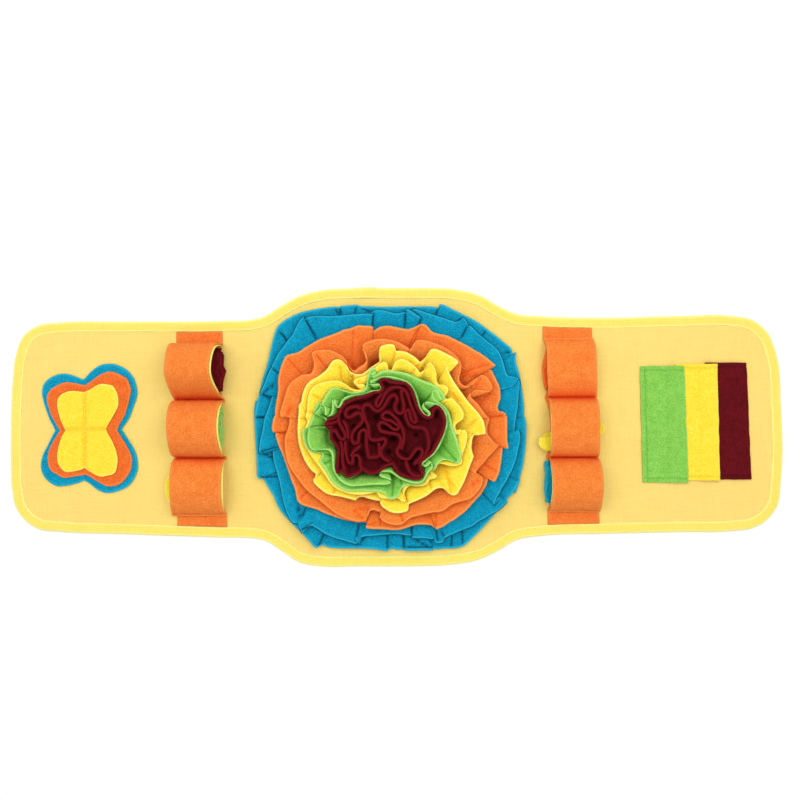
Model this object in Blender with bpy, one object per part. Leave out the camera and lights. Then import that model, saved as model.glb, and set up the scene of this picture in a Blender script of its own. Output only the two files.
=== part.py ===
"""Snuffle mat: a long padded-cloth mat with a gathered fleece rosette, six strip loops and two patches.

The mat lies on z = 0, its length along X and its width along Y, with the origin under the middle of its
outline. Shapes are worked out in millimetres and turned to metres when a mesh is made.
"""

import math
from collections import namedtuple

import bmesh
import bpy
import numpy as np

MM = 0.001
SEAM_GAP = 0.3  # between two pieces that are sewn together

# ---------------------------------------------------------------- driving dimensions, millimetres
MAT_THICKNESS = 3.0
BINDING_WIDTH = 12.0
BINDING_CLOTH = 0.8
FLEECE = 1.6
RIM_LIFT = BINDING_CLOTH + SEAM_GAP  # the mat's rim is raised by the binding under it
RIM_SLOPE = 4.0  # width over which the mat's underside climbs to its rim
OUTLINE_STEP = 14.0
OUTLINE_TURN = 8.0  # degrees of bend between two points of the outline
TOP = MAT_THICKNESS + SEAM_GAP  # where a sewn-on piece starts

# Outline of the mat: x, upper y, lower y. The wings end at x = -425 and 425, the round middle is near x = 0.
OUTLINE = [
    (-425, 5, -35), (-423.4, 45, -71), (-420, 76, -87), (-411, 98, -101), (-395, 111, -112),
    (-371, 114, -115), (-305, 115, -118), (-216, 115, -121), (-160, 118, -122), (-145, 122, -125),
    (-128, 133, -136), (-106, 144, -150), (-84, 150, -154), (-40, 153, -154), (30, 154, -154),
    (62, 152, -152), (93, 144, -146), (115, 132, -135), (134, 124, -124), (159, 122, -120),
    (225, 120, -118), (314, 122, -115), (372, 122, -114), (394, 117, -111), (410, 103, -101),
    (420, 78, -88), (425, 22, -58),
]

# ---------------------------------------------------------------- the rosette
ROSETTE = (-6.6, -1.7)  # centre, x and y
SEAM_Z = TOP + FLEECE / 2
CROOK = (3.0, 4.5)  # an inner leaf first runs this far in and this far up from the seam
PLEAT_LIFT = 2.2  # a panel climbs this far above and below its leaf before it steps down at a pleat
PLEAT_RUN = 1.4
STANDS_UP = 0.006  # a leaf stands this share of its height higher for each mm that it reaches less far

GATHER_SPREAD = 60  # mm of edge over which the gathers share out the seam
GATHER_EVEN = 0.3  # 0: a point of the edge grows from the seam beside it, 1: the edge shares the seam evenly
FOLDS_FROM = 0.4  # share of the way out below which a leaf has no folds that turn back
STATION_GAP = 2.0  # least length of edge between two neighbouring cross sections of a strip

S, C, P = "soft bend", "corner", "pleat"

# Free edge of each leaf of fleece, one row for each turn of its fold: angle in degrees, reach from the
# rosette's centre in mm, kind of turn.
BLUE_OUTER = [
    (4, 148, P), (16, 150, S), (24, 153, S), (31, 161, C), (39, 157, S), (52, 149, S), (68, 145, P),
    (80, 134, S), (91, 132, S), (106, 139, P), (112, 143, S), (127, 158, S), (138, 165, C), (147, 154, C),
    (160, 147, S), (175, 148, P), (190, 148, S), (201, 153, P), (208, 147, S), (229, 149, S), (238, 153, P),
    (247, 141, S), (258, 134, S), (269, 132, P), (284, 138, S), (301, 152, C), (319, 149, S), (332, 151, P),
    (340, 150, P), (355, 148, S),
]
BLUE_INNER = [
    (7, 139, S), (20, 149, C), (22, 141, C), (37, 143, S), (52, 140, P), (57, 144, C), (61, 132, S),
    (74, 124, P), (82, 132, P), (99, 126, P), (106, 130, S), (121, 144, S), (128, 152, C), (134, 147, S),
    (150, 146, S), (165, 145, P), (170, 134, S), (191, 143, P), (200, 133, S), (216, 142, S), (229, 147, C),
    (231, 136, C), (245, 131, S), (255, 128, C), (258, 118, C), (268, 114, S), (281, 120, P), (290, 132, S),
    (296, 132, P), (305, 133, S), (322, 142, S), (329, 148, C), (331, 135, C), (346, 139, S), (357, 140, P),
]
ORANGE_OUTER = [
    (5, 128, P), (10, 120, S), (18, 127, S), (31, 133, C), (37, 130, P), (49, 122, S), (66, 114, S),
    (73, 118, P), (79, 110, S), (90, 111, S), (99, 110, P), (110, 116, P), (118, 119, S), (134, 126, S),
    (147, 138, P), (158, 131, S), (173, 126, S), (182, 128, P), (190, 122, S), (209, 122, S), (218, 128, P),
    (230, 118, S), (246, 109, S), (257, 111, P), (270, 110, S), (287, 110, S), (295, 120, P), (305, 121, S),
    (325, 122, S), (333, 127, P), (342, 127, S), (350, 131, P), (356, 129, S),
]
ORANGE_INNER = [
    (10, 116, S), (21, 121, S), (29, 115, C), (30, 98, C), (37, 96, S), (41, 104, S), (46, 109, S),
    (59, 106, S), (72, 102, S), (77, 90, P), (90, 96, S), (104, 97, C), (108, 80, S), (115, 73, S),
    (121, 79, S), (125, 100, S), (130, 112, S), (136, 118, C), (142, 106, C), (150, 113, S), (160, 119, S),
    (168, 120, C), (174, 112, C), (188, 116, S), (204, 117, S), (218, 111, S), (240, 108, S), (254, 105, P),
    (258, 94, C), (276, 104, S), (283, 99, S), (298, 102, P), (310, 106, S), (321, 117, S), (331, 117, C),
    (335, 107, C), (350, 112, S),
]
YELLOW_OUTER = [
    (3, 101, S), (14, 93, S), (24, 86, S), (39, 86, C), (43, 100, C), (56, 100, S), (63, 95, C),
    (66, 80, S), (78, 83, S), (84, 84, S), (89, 89, S), (95, 88, S), (100, 77, S), (116, 70, S),
    (123, 80, S), (128, 92, S), (140, 92, S), (153, 99, S), (168, 99, S), (184, 98, S), (200, 96, S),
    (209, 92, C), (214, 98, C), (230, 91, S), (243, 85, C), (246, 79, C), (262, 79, C), (266, 86, S),
    (275, 90, S), (281, 88, S), (287, 81, S), (303, 80, S), (310, 83, C), (314, 98, S), (322, 96, S),
    (342, 92, S), (350, 88, S), (355, 90, C), (358, 101, C),
]
YELLOW_INNER = [
    (2, 84, S), (12, 84, S), (19, 77, S), (24, 70, C), (31, 70, S), (37, 77, C), (43, 71, S), (49, 77, S),
    (55, 83, S), (60, 82, C), (63, 70, C), (74, 76, S), (82, 75, S), (88, 69, S), (95, 72, S), (104, 72, S),
    (114, 64, S), (122, 60, S), (131, 60, S), (137, 70, S), (146, 87, S), (158, 93, S), (170, 92, S),
    (184, 94, S), (200, 90, S), (212, 87, C), (218, 89, C), (234, 84, S), (247, 76, S), (258, 74, C),
    (268, 77, S), (279, 79, S), (286, 70, S), (298, 72, S), (309, 71, C), (315, 75, S), (323, 73, C),
    (330, 72, S), (335, 84, C), (347, 83, S), (355, 80, S),
]
GREEN_OUTER = [
    (0, 68, S), (10, 66, S), (22, 63, S), (28, 61, C), (31, 68, C), (38, 68, S), (50, 65, S), (60, 62, S),
    (77, 61, S), (95, 62, C), (100, 60, C), (103, 66, S), (109, 64, S), (114, 56, S), (120, 52, C),
    (130, 54, S), (140, 68, S), (147, 76, S), (158, 79, C), (163, 81, S), (176, 84, C), (180, 90, C),
    (190, 88, S), (197, 83, S), (201, 75, C), (205, 80, C), (220, 81, S), (234, 79, S), (248, 70, S),
    (262, 66, S), (268, 71, C), (277, 71, C), (282, 63, S), (288, 62, S), (300, 66, S), (310, 63, S),
    (325, 63, S), (331, 67, C), (334, 77, C), (339, 79, S), (348, 73, S),
]
GREEN_INNER = [
    (0, 60, S), (12, 61, S), (22, 59, S), (29, 53, S), (33, 43, S), (38, 40, S), (46, 44, S), (55, 49, S),
    (68, 53, S), (84, 55, S), (96, 56, S), (103, 53, S), (108, 44, S), (119, 45, S), (132, 49, S),
    (141, 55, S), (148, 60, S), (153, 68, S), (158, 73, S), (163, 69, S), (170, 69, S), (177, 76, S),
    (182, 83, S), (191, 82, S), (197, 67, S), (205, 64, S), (216, 71, S), (228, 73, S), (240, 68, S),
    (252, 60, S), (260, 56, S), (265, 47, S), (272, 44, S), (279, 51, S), (288, 58, S), (299, 62, S),
    (308, 59, S), (314, 51, S), (323, 51, S), (336, 54, S), (349, 57, S),
]
MAROON_OUTER = [
    (0, 56, S), (11, 57, S), (18, 54, S), (23, 44, S), (28, 37, S), (37, 36, S), (47, 40, S), (59, 47, S),
    (71, 49, S), (87, 50, S), (94, 49, S), (100, 42, S), (107, 39, S), (118, 41, S), (133, 45, S),
    (144, 52, S), (156, 55, S), (165, 60, S), (172, 65, S), (178, 62, S), (187, 61, S), (199, 58, S),
    (209, 60, S), (217, 65, S), (226, 64, S), (234, 54, S), (243, 50, S), (253, 45, S), (261, 40, S),
    (271, 40, S), (280, 46, S), (289, 53, S), (297, 56, S), (304, 53, S), (310, 46, S), (324, 47, S),
    (338, 50, S), (350, 54, S),
]

# Folds of the maroon fleece inside its outer leaf: angle, half width in degrees and reach of the crest, then
# half width and reach of the valley that follows it.
MAROON_FOLDS = [
    (0, 7, 40, 7, 25), (42, 6, 31, 6, 23), (80, 7, 38, 6, 25), (117, 7, 34, 6, 25), (156, 8, 42, 6, 26),
    (197, 7, 45, 6, 27), (237, 7, 40, 6, 25), (280, 6, 34, 7, 24), (322, 7, 40, 6, 26),
]
HEART_FOLDS = [
    (15, 11, 20, 11, 13), (75, 10, 18, 10, 12), (135, 11, 20, 11, 13), (200, 12, 21, 11, 13),
    (260, 10, 18, 11, 12), (318, 10, 20, 10, 13),
]
HEART_CORE = [(20, 7, S), (85, 5, S), (160, 8, S), (230, 5, S), (300, 7, S)]

Strip = namedtuple("Strip", "name colour seam_x seam_y outer outer_height inner inner_height stations")

# ---------------------------------------------------------------- loops of strip, patches and wads
LOOP_CLOTH = 1.5
LINING_CLOTH = 1.0
STRIP_BASE_CLOTH = 1.7
STRIP_MARGIN = 0.8  # between the strip's ends and the binding
LOOP_SEAM_Z = TOP + STRIP_BASE_CLOTH + 2 * SEAM_GAP + LINING_CLOTH + LOOP_CLOTH / 2
ARCH_BULGE = 0.06  # a loop's walls stand this share of its half span outside its seams
ARCH_POWER = 0.75

Loop = namedtuple("Loop", "start end height lean left right")
Seam = namedtuple("Seam", "left right")
# Each loop: start y, end y, height above its seams, lean towards +Y, x of its two edges at the crown.
LEFT_LOOPS = [
    Loop(90.0, 30.6, 40.0, 3.0, -242.0, -195.0),
    Loop(27.6, -32.6, 33.0, 2.0, -242.0, -190.0),
    Loop(-35.6, -91.0, 21.0, 0.0, -242.0, -188.0),
]
LEFT_SEAMS = [Seam(-242.5, -190.5), Seam(-243.5, -188.8), Seam(-243.0, -187.0), Seam(-246.0, -187.5)]
LEFT_TABS = (0.0, 7.0)  # length of the raw end past the first and the last seam
RIGHT_LOOPS = [
    Loop(89.0, 33.6, 15.0, 0.0, 163.8, 216.7),
    Loop(30.6, -31.8, 23.0, -1.0, 167.4, 218.0),
    Loop(-34.8, -87.0, 25.0, -1.0, 168.0, 221.1),
]
RIGHT_SEAMS = [Seam(161.6, 216.1), Seam(166.4, 219.7), Seam(167.9, 221.8), Seam(167.9, 223.5)]
RIGHT_TABS = (6.5, 6.5)
# Flat strip under the loops: x of its left and right edge at the upper rim and at the lower rim.
LEFT_STRIP_BASE = ((-241.6, -190.4), (-240.4, -186.0))
RIGHT_STRIP_BASE = ((161.2, 215.2), (167.2, 223.8))

Wad = namedtuple("Wad", "name colour y width layers left right skew")
WADS = [
    Wad("wad_left_1", "maroon", 58.0, 30.0, 6, -236.0, -187.0, 3.0),
    Wad("wad_left_2", "green", -4.0, 34.0, 5, -236.0, -188.5, -2.0),
    Wad("wad_left_3", "yellow", -63.0, 26.0, 3, -251.0, -194.0, 2.0),
    Wad("wad_right_1", "ember", 60.0, 32.0, 2, 159.5, 212.0, -3.0),
    Wad("wad_right_2", "yellow", -7.0, 22.0, 3, 158.0, 228.0, 9.0),
    Wad("wad_right_3", "blue", -62.0, 30.0, 3, 160.5, 214.0, 2.0),
]
WAD_CLOTH = 2.0
WAD_PITCH = 3.4  # from one layer to the next
WAD_TAPER = 1.5  # each layer is this much shorter at both ends than the one below it
WAD_TURN = 1.2  # how far a fold swells out past the ends of its layers

BUTTERFLY = (-341.7, -2.5)  # centre, x and y
BUTTERFLY_STEP = 8.0
# Wing outline of each layer, from the upper left lobe round to the notch between the upper lobes.
BUTTERFLY_BLUE = [
    (-25, 61), (-49, 43), (-37, 16), (-33, -1), (-38, -18), (-50, -40), (-35, -62), (-2, -56), (28, -70),
    (58, -42), (40, -18), (34, -1), (40, 16), (56, 40), (26, 70), (-2, 54),
]
BUTTERFLY_ORANGE = [
    (-20, 52), (-44, 34), (-31, 12), (-26, -2), (-31, -17), (-44, -38), (-27, -54), (-1, -49), (25, -63),
    (49, -38), (32, -14), (26, -1), (32, 14), (48, 37), (27, 62), (-2, 48),
]
BUTTERFLY_YELLOW = [
    (-15, 42), (-32, 31), (-25, 10), (-22, -1), (-25, -13), (-32, -33), (-21, -47), (-1, -42), (18, -52),
    (35, -33), (25, -12), (21, 1), (26, 13), (36, 32), (22, 48), (-1, 39),
]

STRIPE_CLOTH = 2.0
STRIPE_CLIMB = 5.0  # width over which a panel climbs onto its neighbour
# Panels of the striped patch: name, colour, left x and right x at the upper edge and at the lower edge,
# upper y, lower y, x where it climbs onto its neighbour (none on the lowest panel).
Stripe = namedtuple("Stripe", "name colour top_left top_right low_left low_right upper lower step")
STRIPES = [
    Stripe("stripe_maroon", "maroon", 338.5, 386.0, 342.0, 391.5, 70.5, -59.0, None),
    Stripe("stripe_yellow", "yellow", 305.0, 354.5, 308.0, 357.0, 68.5, -59.5, 334.0),
    Stripe("stripe_green", "green", 269.4, 317.5, 272.7, 321.5, 66.5, -61.5, 300.5),
]

COLOURS = {
    "apricot": (0.95, 0.72, 0.25),
    "lemon": (0.98, 0.83, 0.12),
    "blue": (0.01, 0.36, 0.58),
    "orange": (0.90, 0.24, 0.04),
    "ember": (0.80, 0.10, 0.02),
    "yellow": (0.98, 0.78, 0.05),
    "green": (0.22, 0.55, 0.10),
    "maroon": (0.14, 0.008, 0.012),
}


# ---------------------------------------------------------------- meshes
def clear_scene():
    """Removes every object that the file starts with."""
    for item in list(bpy.data.objects):
        bpy.data.objects.remove(item, do_unlink=True)


def cloth_material(colour):
    """The matt cloth material of one colour, made once."""
    name = "cloth_" + colour
    found = bpy.data.materials.get(name)
    if found:
        return found
    material = bpy.data.materials.new(name)
    material.use_nodes = True
    shader = material.node_tree.nodes["Principled BSDF"]
    shader.inputs["Base Color"].default_value = (*COLOURS[colour], 1.0)
    shader.inputs["Roughness"].default_value = 0.9
    shader.inputs["Metallic"].default_value = 0.0
    return material


def add_solid(name, colour, rings, closed=False):
    """Makes one closed solid by skinning rings of points; an open row of rings gets a cap at each end."""
    mesh = bpy.data.meshes.new(name)
    work = bmesh.new()
    made = [[work.verts.new(np.asarray(point) * MM) for point in ring] for ring in rings]
    count = len(made[0])
    spans = len(made) if closed else len(made) - 1
    for i in range(spans):
        here = made[i]
        there = made[(i + 1) % len(made)]
        for k in range(count):
            m = (k + 1) % count
            work.faces.new((here[k], here[m], there[m], there[k]))
    if not closed:
        work.faces.new(list(reversed(made[0])))
        work.faces.new(made[-1])
    bmesh.ops.recalc_face_normals(work, faces=work.faces)
    work.to_mesh(mesh)
    work.free()
    mesh.shade_smooth()
    mesh.set_sharp_from_angle(angle=math.radians(40))
    mesh.materials.append(cloth_material(colour))
    item = bpy.data.objects.new(name, mesh)
    bpy.context.scene.collection.objects.link(item)
    return item


def unit(vectors):
    """Vectors of length one."""
    length = np.linalg.norm(vectors, axis=-1, keepdims=True)
    return vectors / np.maximum(length, 1e-9)


def tangents(grid, axis, closed):
    """Direction of a grid of points along one of its axes, halfway between its two neighbours."""
    ahead = unit(np.roll(grid, -1, axis) - grid)
    behind = np.roll(ahead, 1, axis)
    if not closed:
        last = [slice(None)] * grid.ndim
        first = list(last)
        before_last = list(last)
        last[axis] = -1
        first[axis] = 0
        before_last[axis] = -2
        ahead[tuple(last)] = ahead[tuple(before_last)]
        behind[tuple(first)] = ahead[tuple(first)]
    return unit(ahead + behind)


def sheet_rings(grid, thickness, closed):
    """Cross sections of a cloth of even thickness whose middle surface is a grid of points."""
    normal = unit(np.cross(tangents(grid, 0, closed), tangents(grid, 1, False)))
    face = grid + normal * thickness / 2
    back = grid - normal * thickness / 2
    return [list(face[i]) + list(back[i][::-1]) for i in range(len(grid))]


# ---------------------------------------------------------------- plan curves
def curve_through(points, corners, step):
    """Closed plan curve through points, smooth but at the listed corners, with a point every step or so."""
    points = np.asarray(points, float)
    count = len(points)
    chord = np.roll(points, -1, 0) - points
    length = np.linalg.norm(chord, axis=1)
    way = chord / length[:, None]
    before = np.roll(way, 1, 0)
    weight = np.roll(length, 1)
    bend = unit(way * weight[:, None] + before * length[:, None])
    path = []
    starts = []
    for i in range(count):
        j = (i + 1) % count
        leave = way[i] if corners[i] else bend[i]
        arrive = way[i] if corners[j] else bend[j]
        pieces = max(1, math.ceil(length[i] / step))
        starts.append(len(path))
        for k in range(pieces):
            t = k / pieces
            place = (2 * t**3 - 3 * t**2 + 1) * points[i] + (3 * t**2 - 2 * t**3) * points[j]
            swing = (t**3 - 2 * t**2 + t) * leave + (t**3 - t**2) * arrive
            path.append(place + swing * length[i])
    return np.array(path), np.array(starts)


def inset(path, distance):
    """A closed clockwise plan curve drawn in by a distance."""
    along = tangents(path, 0, True)
    inward = np.stack([along[:, 1], -along[:, 0]], axis=1)
    return path + inward * distance


def mat_outline():
    """Outline of the mat, clockwise from above, with more points round its corners than along its sides."""
    upper = [(x, top) for x, top, low in OUTLINE]
    lower = [(x, low) for x, top, low in reversed(OUTLINE)]
    path, starts = curve_through(upper + lower, [False] * (2 * len(OUTLINE)), OUTLINE_STEP)
    keep = [0]
    turned = 0.0
    way = tangents(path, 0, True)
    for i in range(1, len(path)):
        turned += math.acos(max(-1.0, min(1.0, float(way[i] @ way[i - 1]))))
        if turned > math.radians(OUTLINE_TURN) or i in starts:
            keep.append(i)
            turned = 0.0
    return path[keep]


# ---------------------------------------------------------------- the mat and its binding
def with_height(path, z):
    """Plan points lifted to a height."""
    return np.column_stack([path, np.full(len(path), z)])


def build_mat(outline):
    """The mat cloth, whose rim is raised a little where the binding passes under it."""
    rim = inset(outline, BINDING_CLOTH + 2 * SEAM_GAP)
    fold = inset(outline, BINDING_WIDTH + SEAM_GAP)
    floor = inset(outline, BINDING_WIDTH + SEAM_GAP + RIM_SLOPE)
    layers = [
        with_height(floor, 0.0),
        with_height(fold, RIM_LIFT),
        with_height(rim, RIM_LIFT),
        with_height(rim, MAT_THICKNESS),
    ]
    add_solid("base_panel", "apricot", layers)


def build_binding(outline):
    """Bias tape folded over the mat's edge, a closed ring of C section."""
    high = TOP + BINDING_CLOTH
    steps = [
        (0.0, 0.0), (0.0, high), (BINDING_WIDTH, high), (BINDING_WIDTH, TOP),
        (BINDING_CLOTH, TOP), (BINDING_CLOTH, BINDING_CLOTH), (BINDING_WIDTH, BINDING_CLOTH),
        (BINDING_WIDTH, 0.0),
    ]
    lines = [with_height(inset(outline, run), z) for run, z in steps]
    rings = [[line[i] for line in lines] for i in range(len(outline))]
    add_solid("binding", "lemon", rings, closed=True)


# ---------------------------------------------------------------- leaves of the rosette
def from_polar(rows):
    """Plan points, from the rosette's centre, of rows that start with an angle and a reach."""
    angle = np.radians([row[0] for row in rows])
    reach = np.array([row[1] for row in rows], float)
    return np.column_stack([reach * np.cos(angle), reach * np.sin(angle)])


def folded_rows(folds):
    """Turns of an edge that runs out to a crest and back to a valley at every fold."""
    rows = []
    for i, (angle, crest_half, crest, valley_half, valley) in enumerate(folds):
        ahead = folds[(i + 1) % len(folds)][0] + (360 if i + 1 == len(folds) else 0)
        middle = angle + (ahead - angle) / 2
        rows += [(angle - crest_half, crest, S), (angle + crest_half, crest, S)]
        rows += [(middle - valley_half, valley, S), (middle + valley_half, valley, S)]
    return rows


class Leaf:
    """Free edge of one leaf of fleece, and the place on the seam that each point of it grows from."""

    SPACING = 1.0

    def __init__(self, rows, height):
        corners = [kind == C for angle, reach, kind in rows]
        path, starts = curve_through(from_polar(rows), corners, self.SPACING)
        run = np.concatenate([[0], np.cumsum(np.linalg.norm(np.diff(path, axis=0), axis=1))])
        self.length = run[-1] + np.linalg.norm(path[0] - path[-1])
        self.marks = run[starts]
        count = int(self.length / self.SPACING)
        self.run = np.linspace(0, self.length, count, endpoint=False)
        closed_run = np.append(run, self.length)
        closed_path = np.vstack([path, path[:1]])
        self.x = np.interp(self.run, closed_run, closed_path[:, 0])
        self.y = np.interp(self.run, closed_run, closed_path[:, 1])
        self.seam_angle = self.shared_seam()
        reach = np.hypot(self.x, self.y)
        self.z = height * (1 + STANDS_UP * (reach.mean() - reach))
        pleats = np.array([mark for mark, row in zip(self.marks, rows) if row[2] == P])
        if len(pleats):
            self.z = self.z + PLEAT_LIFT * self.climb(pleats)
            self.marks = np.concatenate([self.marks, pleats - PLEAT_RUN, pleats + PLEAT_RUN])

    def shared_seam(self):
        """Seam angle of each point: its own angle, evened out over the folds so that it always grows."""
        angle = np.unwrap(np.arctan2(self.y, self.x))
        turns = np.concatenate([angle - 2 * math.pi, angle, angle + 2 * math.pi])
        spread = int(GATHER_SPREAD / self.SPACING)
        even = np.convolve(turns, np.full(spread, 1 / spread), mode="same")[len(angle):2 * len(angle)]
        steady = angle[0] + 2 * math.pi * self.run / self.length
        steady = steady + (even - steady).mean()
        grown = np.maximum.accumulate(even + (steady - even) * GATHER_EVEN)
        return grown + 1e-6 * np.arange(len(grown))

    def climb(self, pleats):
        """From -1 just after a pleat to 1 just before the next one, with a short step down at each."""
        knots = [pleats[0] + PLEAT_RUN]
        levels = [-1.0]
        for mark in pleats[1:]:
            knots += [mark - PLEAT_RUN, mark + PLEAT_RUN]
            levels += [1.0, -1.0]
        knots.append(pleats[0] - PLEAT_RUN + self.length)
        levels.append(1.0)
        return np.interp(self.run, knots, levels, period=self.length)

    def at(self, angles):
        """Plan place and height of the edge where it grows from the given seam angles."""
        turn = 2 * math.pi
        return np.column_stack([np.interp(angles, self.seam_angle, value, period=turn)
                                for value in (self.x, self.y, self.z)])

    def mark_angles(self):
        """Seam angles of the edge's own turns."""
        return np.interp(self.marks % self.length, self.run, self.seam_angle)


def chosen_angles(outer, inner, count):
    """The seam angles, out of all the turns of both leaves, that shape the strip most, none too close."""
    angles = np.concatenate([outer.mark_angles(), inner.mark_angles()]) % (2 * math.pi)
    angles = np.unique(np.round(angles, 4))
    while True:
        now = np.hstack([outer.at(angles), inner.at(angles)])
        before = np.roll(now, 1, 0)
        after = np.roll(now, -1, 0)
        along = unit(after - before)
        aside = now - before
        off = np.linalg.norm(aside - (aside * along).sum(1, keepdims=True) * along, axis=1)
        steps = [np.linalg.norm((now - before)[:, leaf], axis=1) for leaf in (slice(0, 3), slice(3, 6))]
        close = np.minimum(*steps) < STATION_GAP
        crowded = close | np.roll(close, -1)
        if crowded.any():
            off = np.where(crowded, off, np.inf)
        elif len(angles) <= count:
            return angles
        angles = np.delete(angles, int(np.argmin(off)))


def rise(share):
    """How far up its height a leaf is when it has run this share of its way out."""
    return 1 - (1 - share) ** 1.5


def fold_share(share):
    """How far the folds have swung round at this share of the way out: they open towards the seam."""
    late = max(0.0, (share - FOLDS_FROM) / (1 - FOLDS_FROM))
    return late**2 * (3 - 2 * late)


OUTER_SHARES = (1.0, 0.55, 0.2)
INNER_SHARES = (0.45, 1.0)


def leaf_line(start, edge, share):
    """Points of a leaf at one share of the way from its start to its free edge."""
    first = np.arctan2(start[:, 1], start[:, 0])
    sway = np.arctan2(edge[:, 1], edge[:, 0]) - first
    sway = (sway + math.pi) % (2 * math.pi) - math.pi
    angle = first + sway * fold_share(share)
    near = np.hypot(start[:, 0], start[:, 1])
    reach = near + (np.hypot(edge[:, 0], edge[:, 1]) - near) * share
    height = start[:, 2] + (edge[:, 2] - start[:, 2]) * rise(share)
    return np.column_stack([reach * np.cos(angle), reach * np.sin(angle), height])


def build_strip(strip):
    """One gathered strip: outer leaf, seam and inner leaf as one sheet that runs round the rosette."""
    outer = Leaf(strip.outer, strip.outer_height)
    inner = Leaf(strip.inner, strip.inner_height)
    angles = chosen_angles(outer, inner, strip.stations)
    around = np.column_stack([np.cos(angles), np.sin(angles)])
    seam = np.column_stack([around * (strip.seam_x, strip.seam_y), np.full(len(angles), SEAM_Z)])
    crook = np.column_stack([seam[:, :2] - around * CROOK[0], seam[:, 2] + CROOK[1]])
    lines = [leaf_line(seam, outer.at(angles), share) for share in OUTER_SHARES]
    lines += [seam, crook]
    lines += [leaf_line(crook, inner.at(angles), share) for share in INNER_SHARES]
    grid = np.stack(lines, axis=1) + (*ROSETTE, 0.0)
    add_solid(strip.name, strip.colour, sheet_rings(grid, FLEECE, True), closed=True)


def build_rosette():
    """The five gathered strips and the heart, from the widest to the tightest."""
    maroon_inner = folded_rows(MAROON_FOLDS)
    heart_outer = folded_rows(HEART_FOLDS)
    strips = [
        Strip("ruffle_blue", "blue", 104, 94, BLUE_OUTER, 8, BLUE_INNER, 16, 70),
        Strip("ruffle_orange", "orange", 82, 74, ORANGE_OUTER, 25, ORANGE_INNER, 32, 72),
        Strip("ruffle_yellow", "yellow", 62, 56, YELLOW_OUTER, 36, YELLOW_INNER, 42, 76),
        Strip("ruffle_green", "green", 43, 39, GREEN_OUTER, 44, GREEN_INNER, 48, 80),
        Strip("ruffle_maroon", "maroon", 27, 25, MAROON_OUTER, 51, maroon_inner, 54, 78),
        Strip("heart_maroon", "maroon", 13, 12, heart_outer, 54, HEART_CORE, 55, 30),
    ]
    for strip in strips:
        build_strip(strip)


# ---------------------------------------------------------------- loops
ARCH_ANGLES = (0, 14, 32, 58, 90, 122, 148, 166, 180)


def loop_profile(loops, seams, tabs):
    """Middle line of a loop strip from its upper end to its lower end: y, z, left x, right x."""
    rows = []
    if tabs[0]:
        rows.append((loops[0].start + tabs[0], LOOP_SEAM_Z, *seams[0]))
    for i, loop in enumerate(loops):
        middle = (loop.start + loop.end) / 2
        half = (loop.start - loop.end) / 2
        for degrees in ARCH_ANGLES:
            up = math.sin(math.radians(degrees))
            y = middle + half * math.cos(math.radians(degrees)) * (1 + ARCH_BULGE * up) + loop.lean * up
            z = LOOP_SEAM_Z + loop.height * up**ARCH_POWER
            seam = seams[i] if degrees < 90 else seams[i + 1]
            left = seam.left + (loop.left - seam.left) * up
            right = seam.right + (loop.right - seam.right) * up
            rows.append((y, z, left, right))
    if tabs[1]:
        rows.append((loops[-1].end - tabs[1], LOOP_SEAM_Z, *seams[-1]))
    return np.array(rows)


def cloth_along(profile, thickness, drop):
    """Rings of a strip whose middle line lies a drop below a profile that runs towards -Y, square to it."""
    line = profile[:, :2]
    way = tangents(line, 0, False)
    above = np.stack([way[:, 1], -way[:, 0]], axis=1)
    rings = []
    for i, (y, z, left, right) in enumerate(profile):
        high = line[i] + above[i] * (thickness / 2 - drop)
        low = line[i] - above[i] * (thickness / 2 + drop)
        rings.append([(left, *high), (right, *high), (right, *low), (left, *low)])
    return rings


def build_loops(side, loops, seams, tabs):
    """A strip that stands up in three loops, and the thin lining under it."""
    profile = loop_profile(loops, seams, tabs)
    add_solid(side + "_loops", "orange", cloth_along(profile, LOOP_CLOTH, 0.0))
    drop = LOOP_CLOTH / 2 + SEAM_GAP + LINING_CLOTH / 2
    add_solid(side + "_loops_lining", "lemon", cloth_along(profile, LINING_CLOTH, drop))


def binding_edge(outline, x, upper):
    """y of the binding's inner edge at x, on the upper or the lower side of the mat."""
    inner = inset(outline, BINDING_WIDTH)
    side = inner[inner[:, 1] > 0] if upper else inner[inner[:, 1] < 0]
    side = side[np.argsort(side[:, 0])]
    return float(np.interp(x, side[:, 0], side[:, 1]))


def build_strip_base(side, edges, outline):
    """The flat strip under a row of loops, sewn from one rim of the mat to the other."""
    (top_left, top_right), (low_left, low_right) = edges
    plan = [
        (top_left, binding_edge(outline, top_left, True) - STRIP_MARGIN),
        (top_right, binding_edge(outline, top_right, True) - STRIP_MARGIN),
        (low_right, binding_edge(outline, low_right, False) + STRIP_MARGIN),
        (low_left, binding_edge(outline, low_left, False) + STRIP_MARGIN),
    ]
    rings = [with_height(np.array(plan), z) for z in (TOP, TOP + STRIP_BASE_CLOTH)]
    add_solid(side + "_strip_base", "orange", rings)


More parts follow.
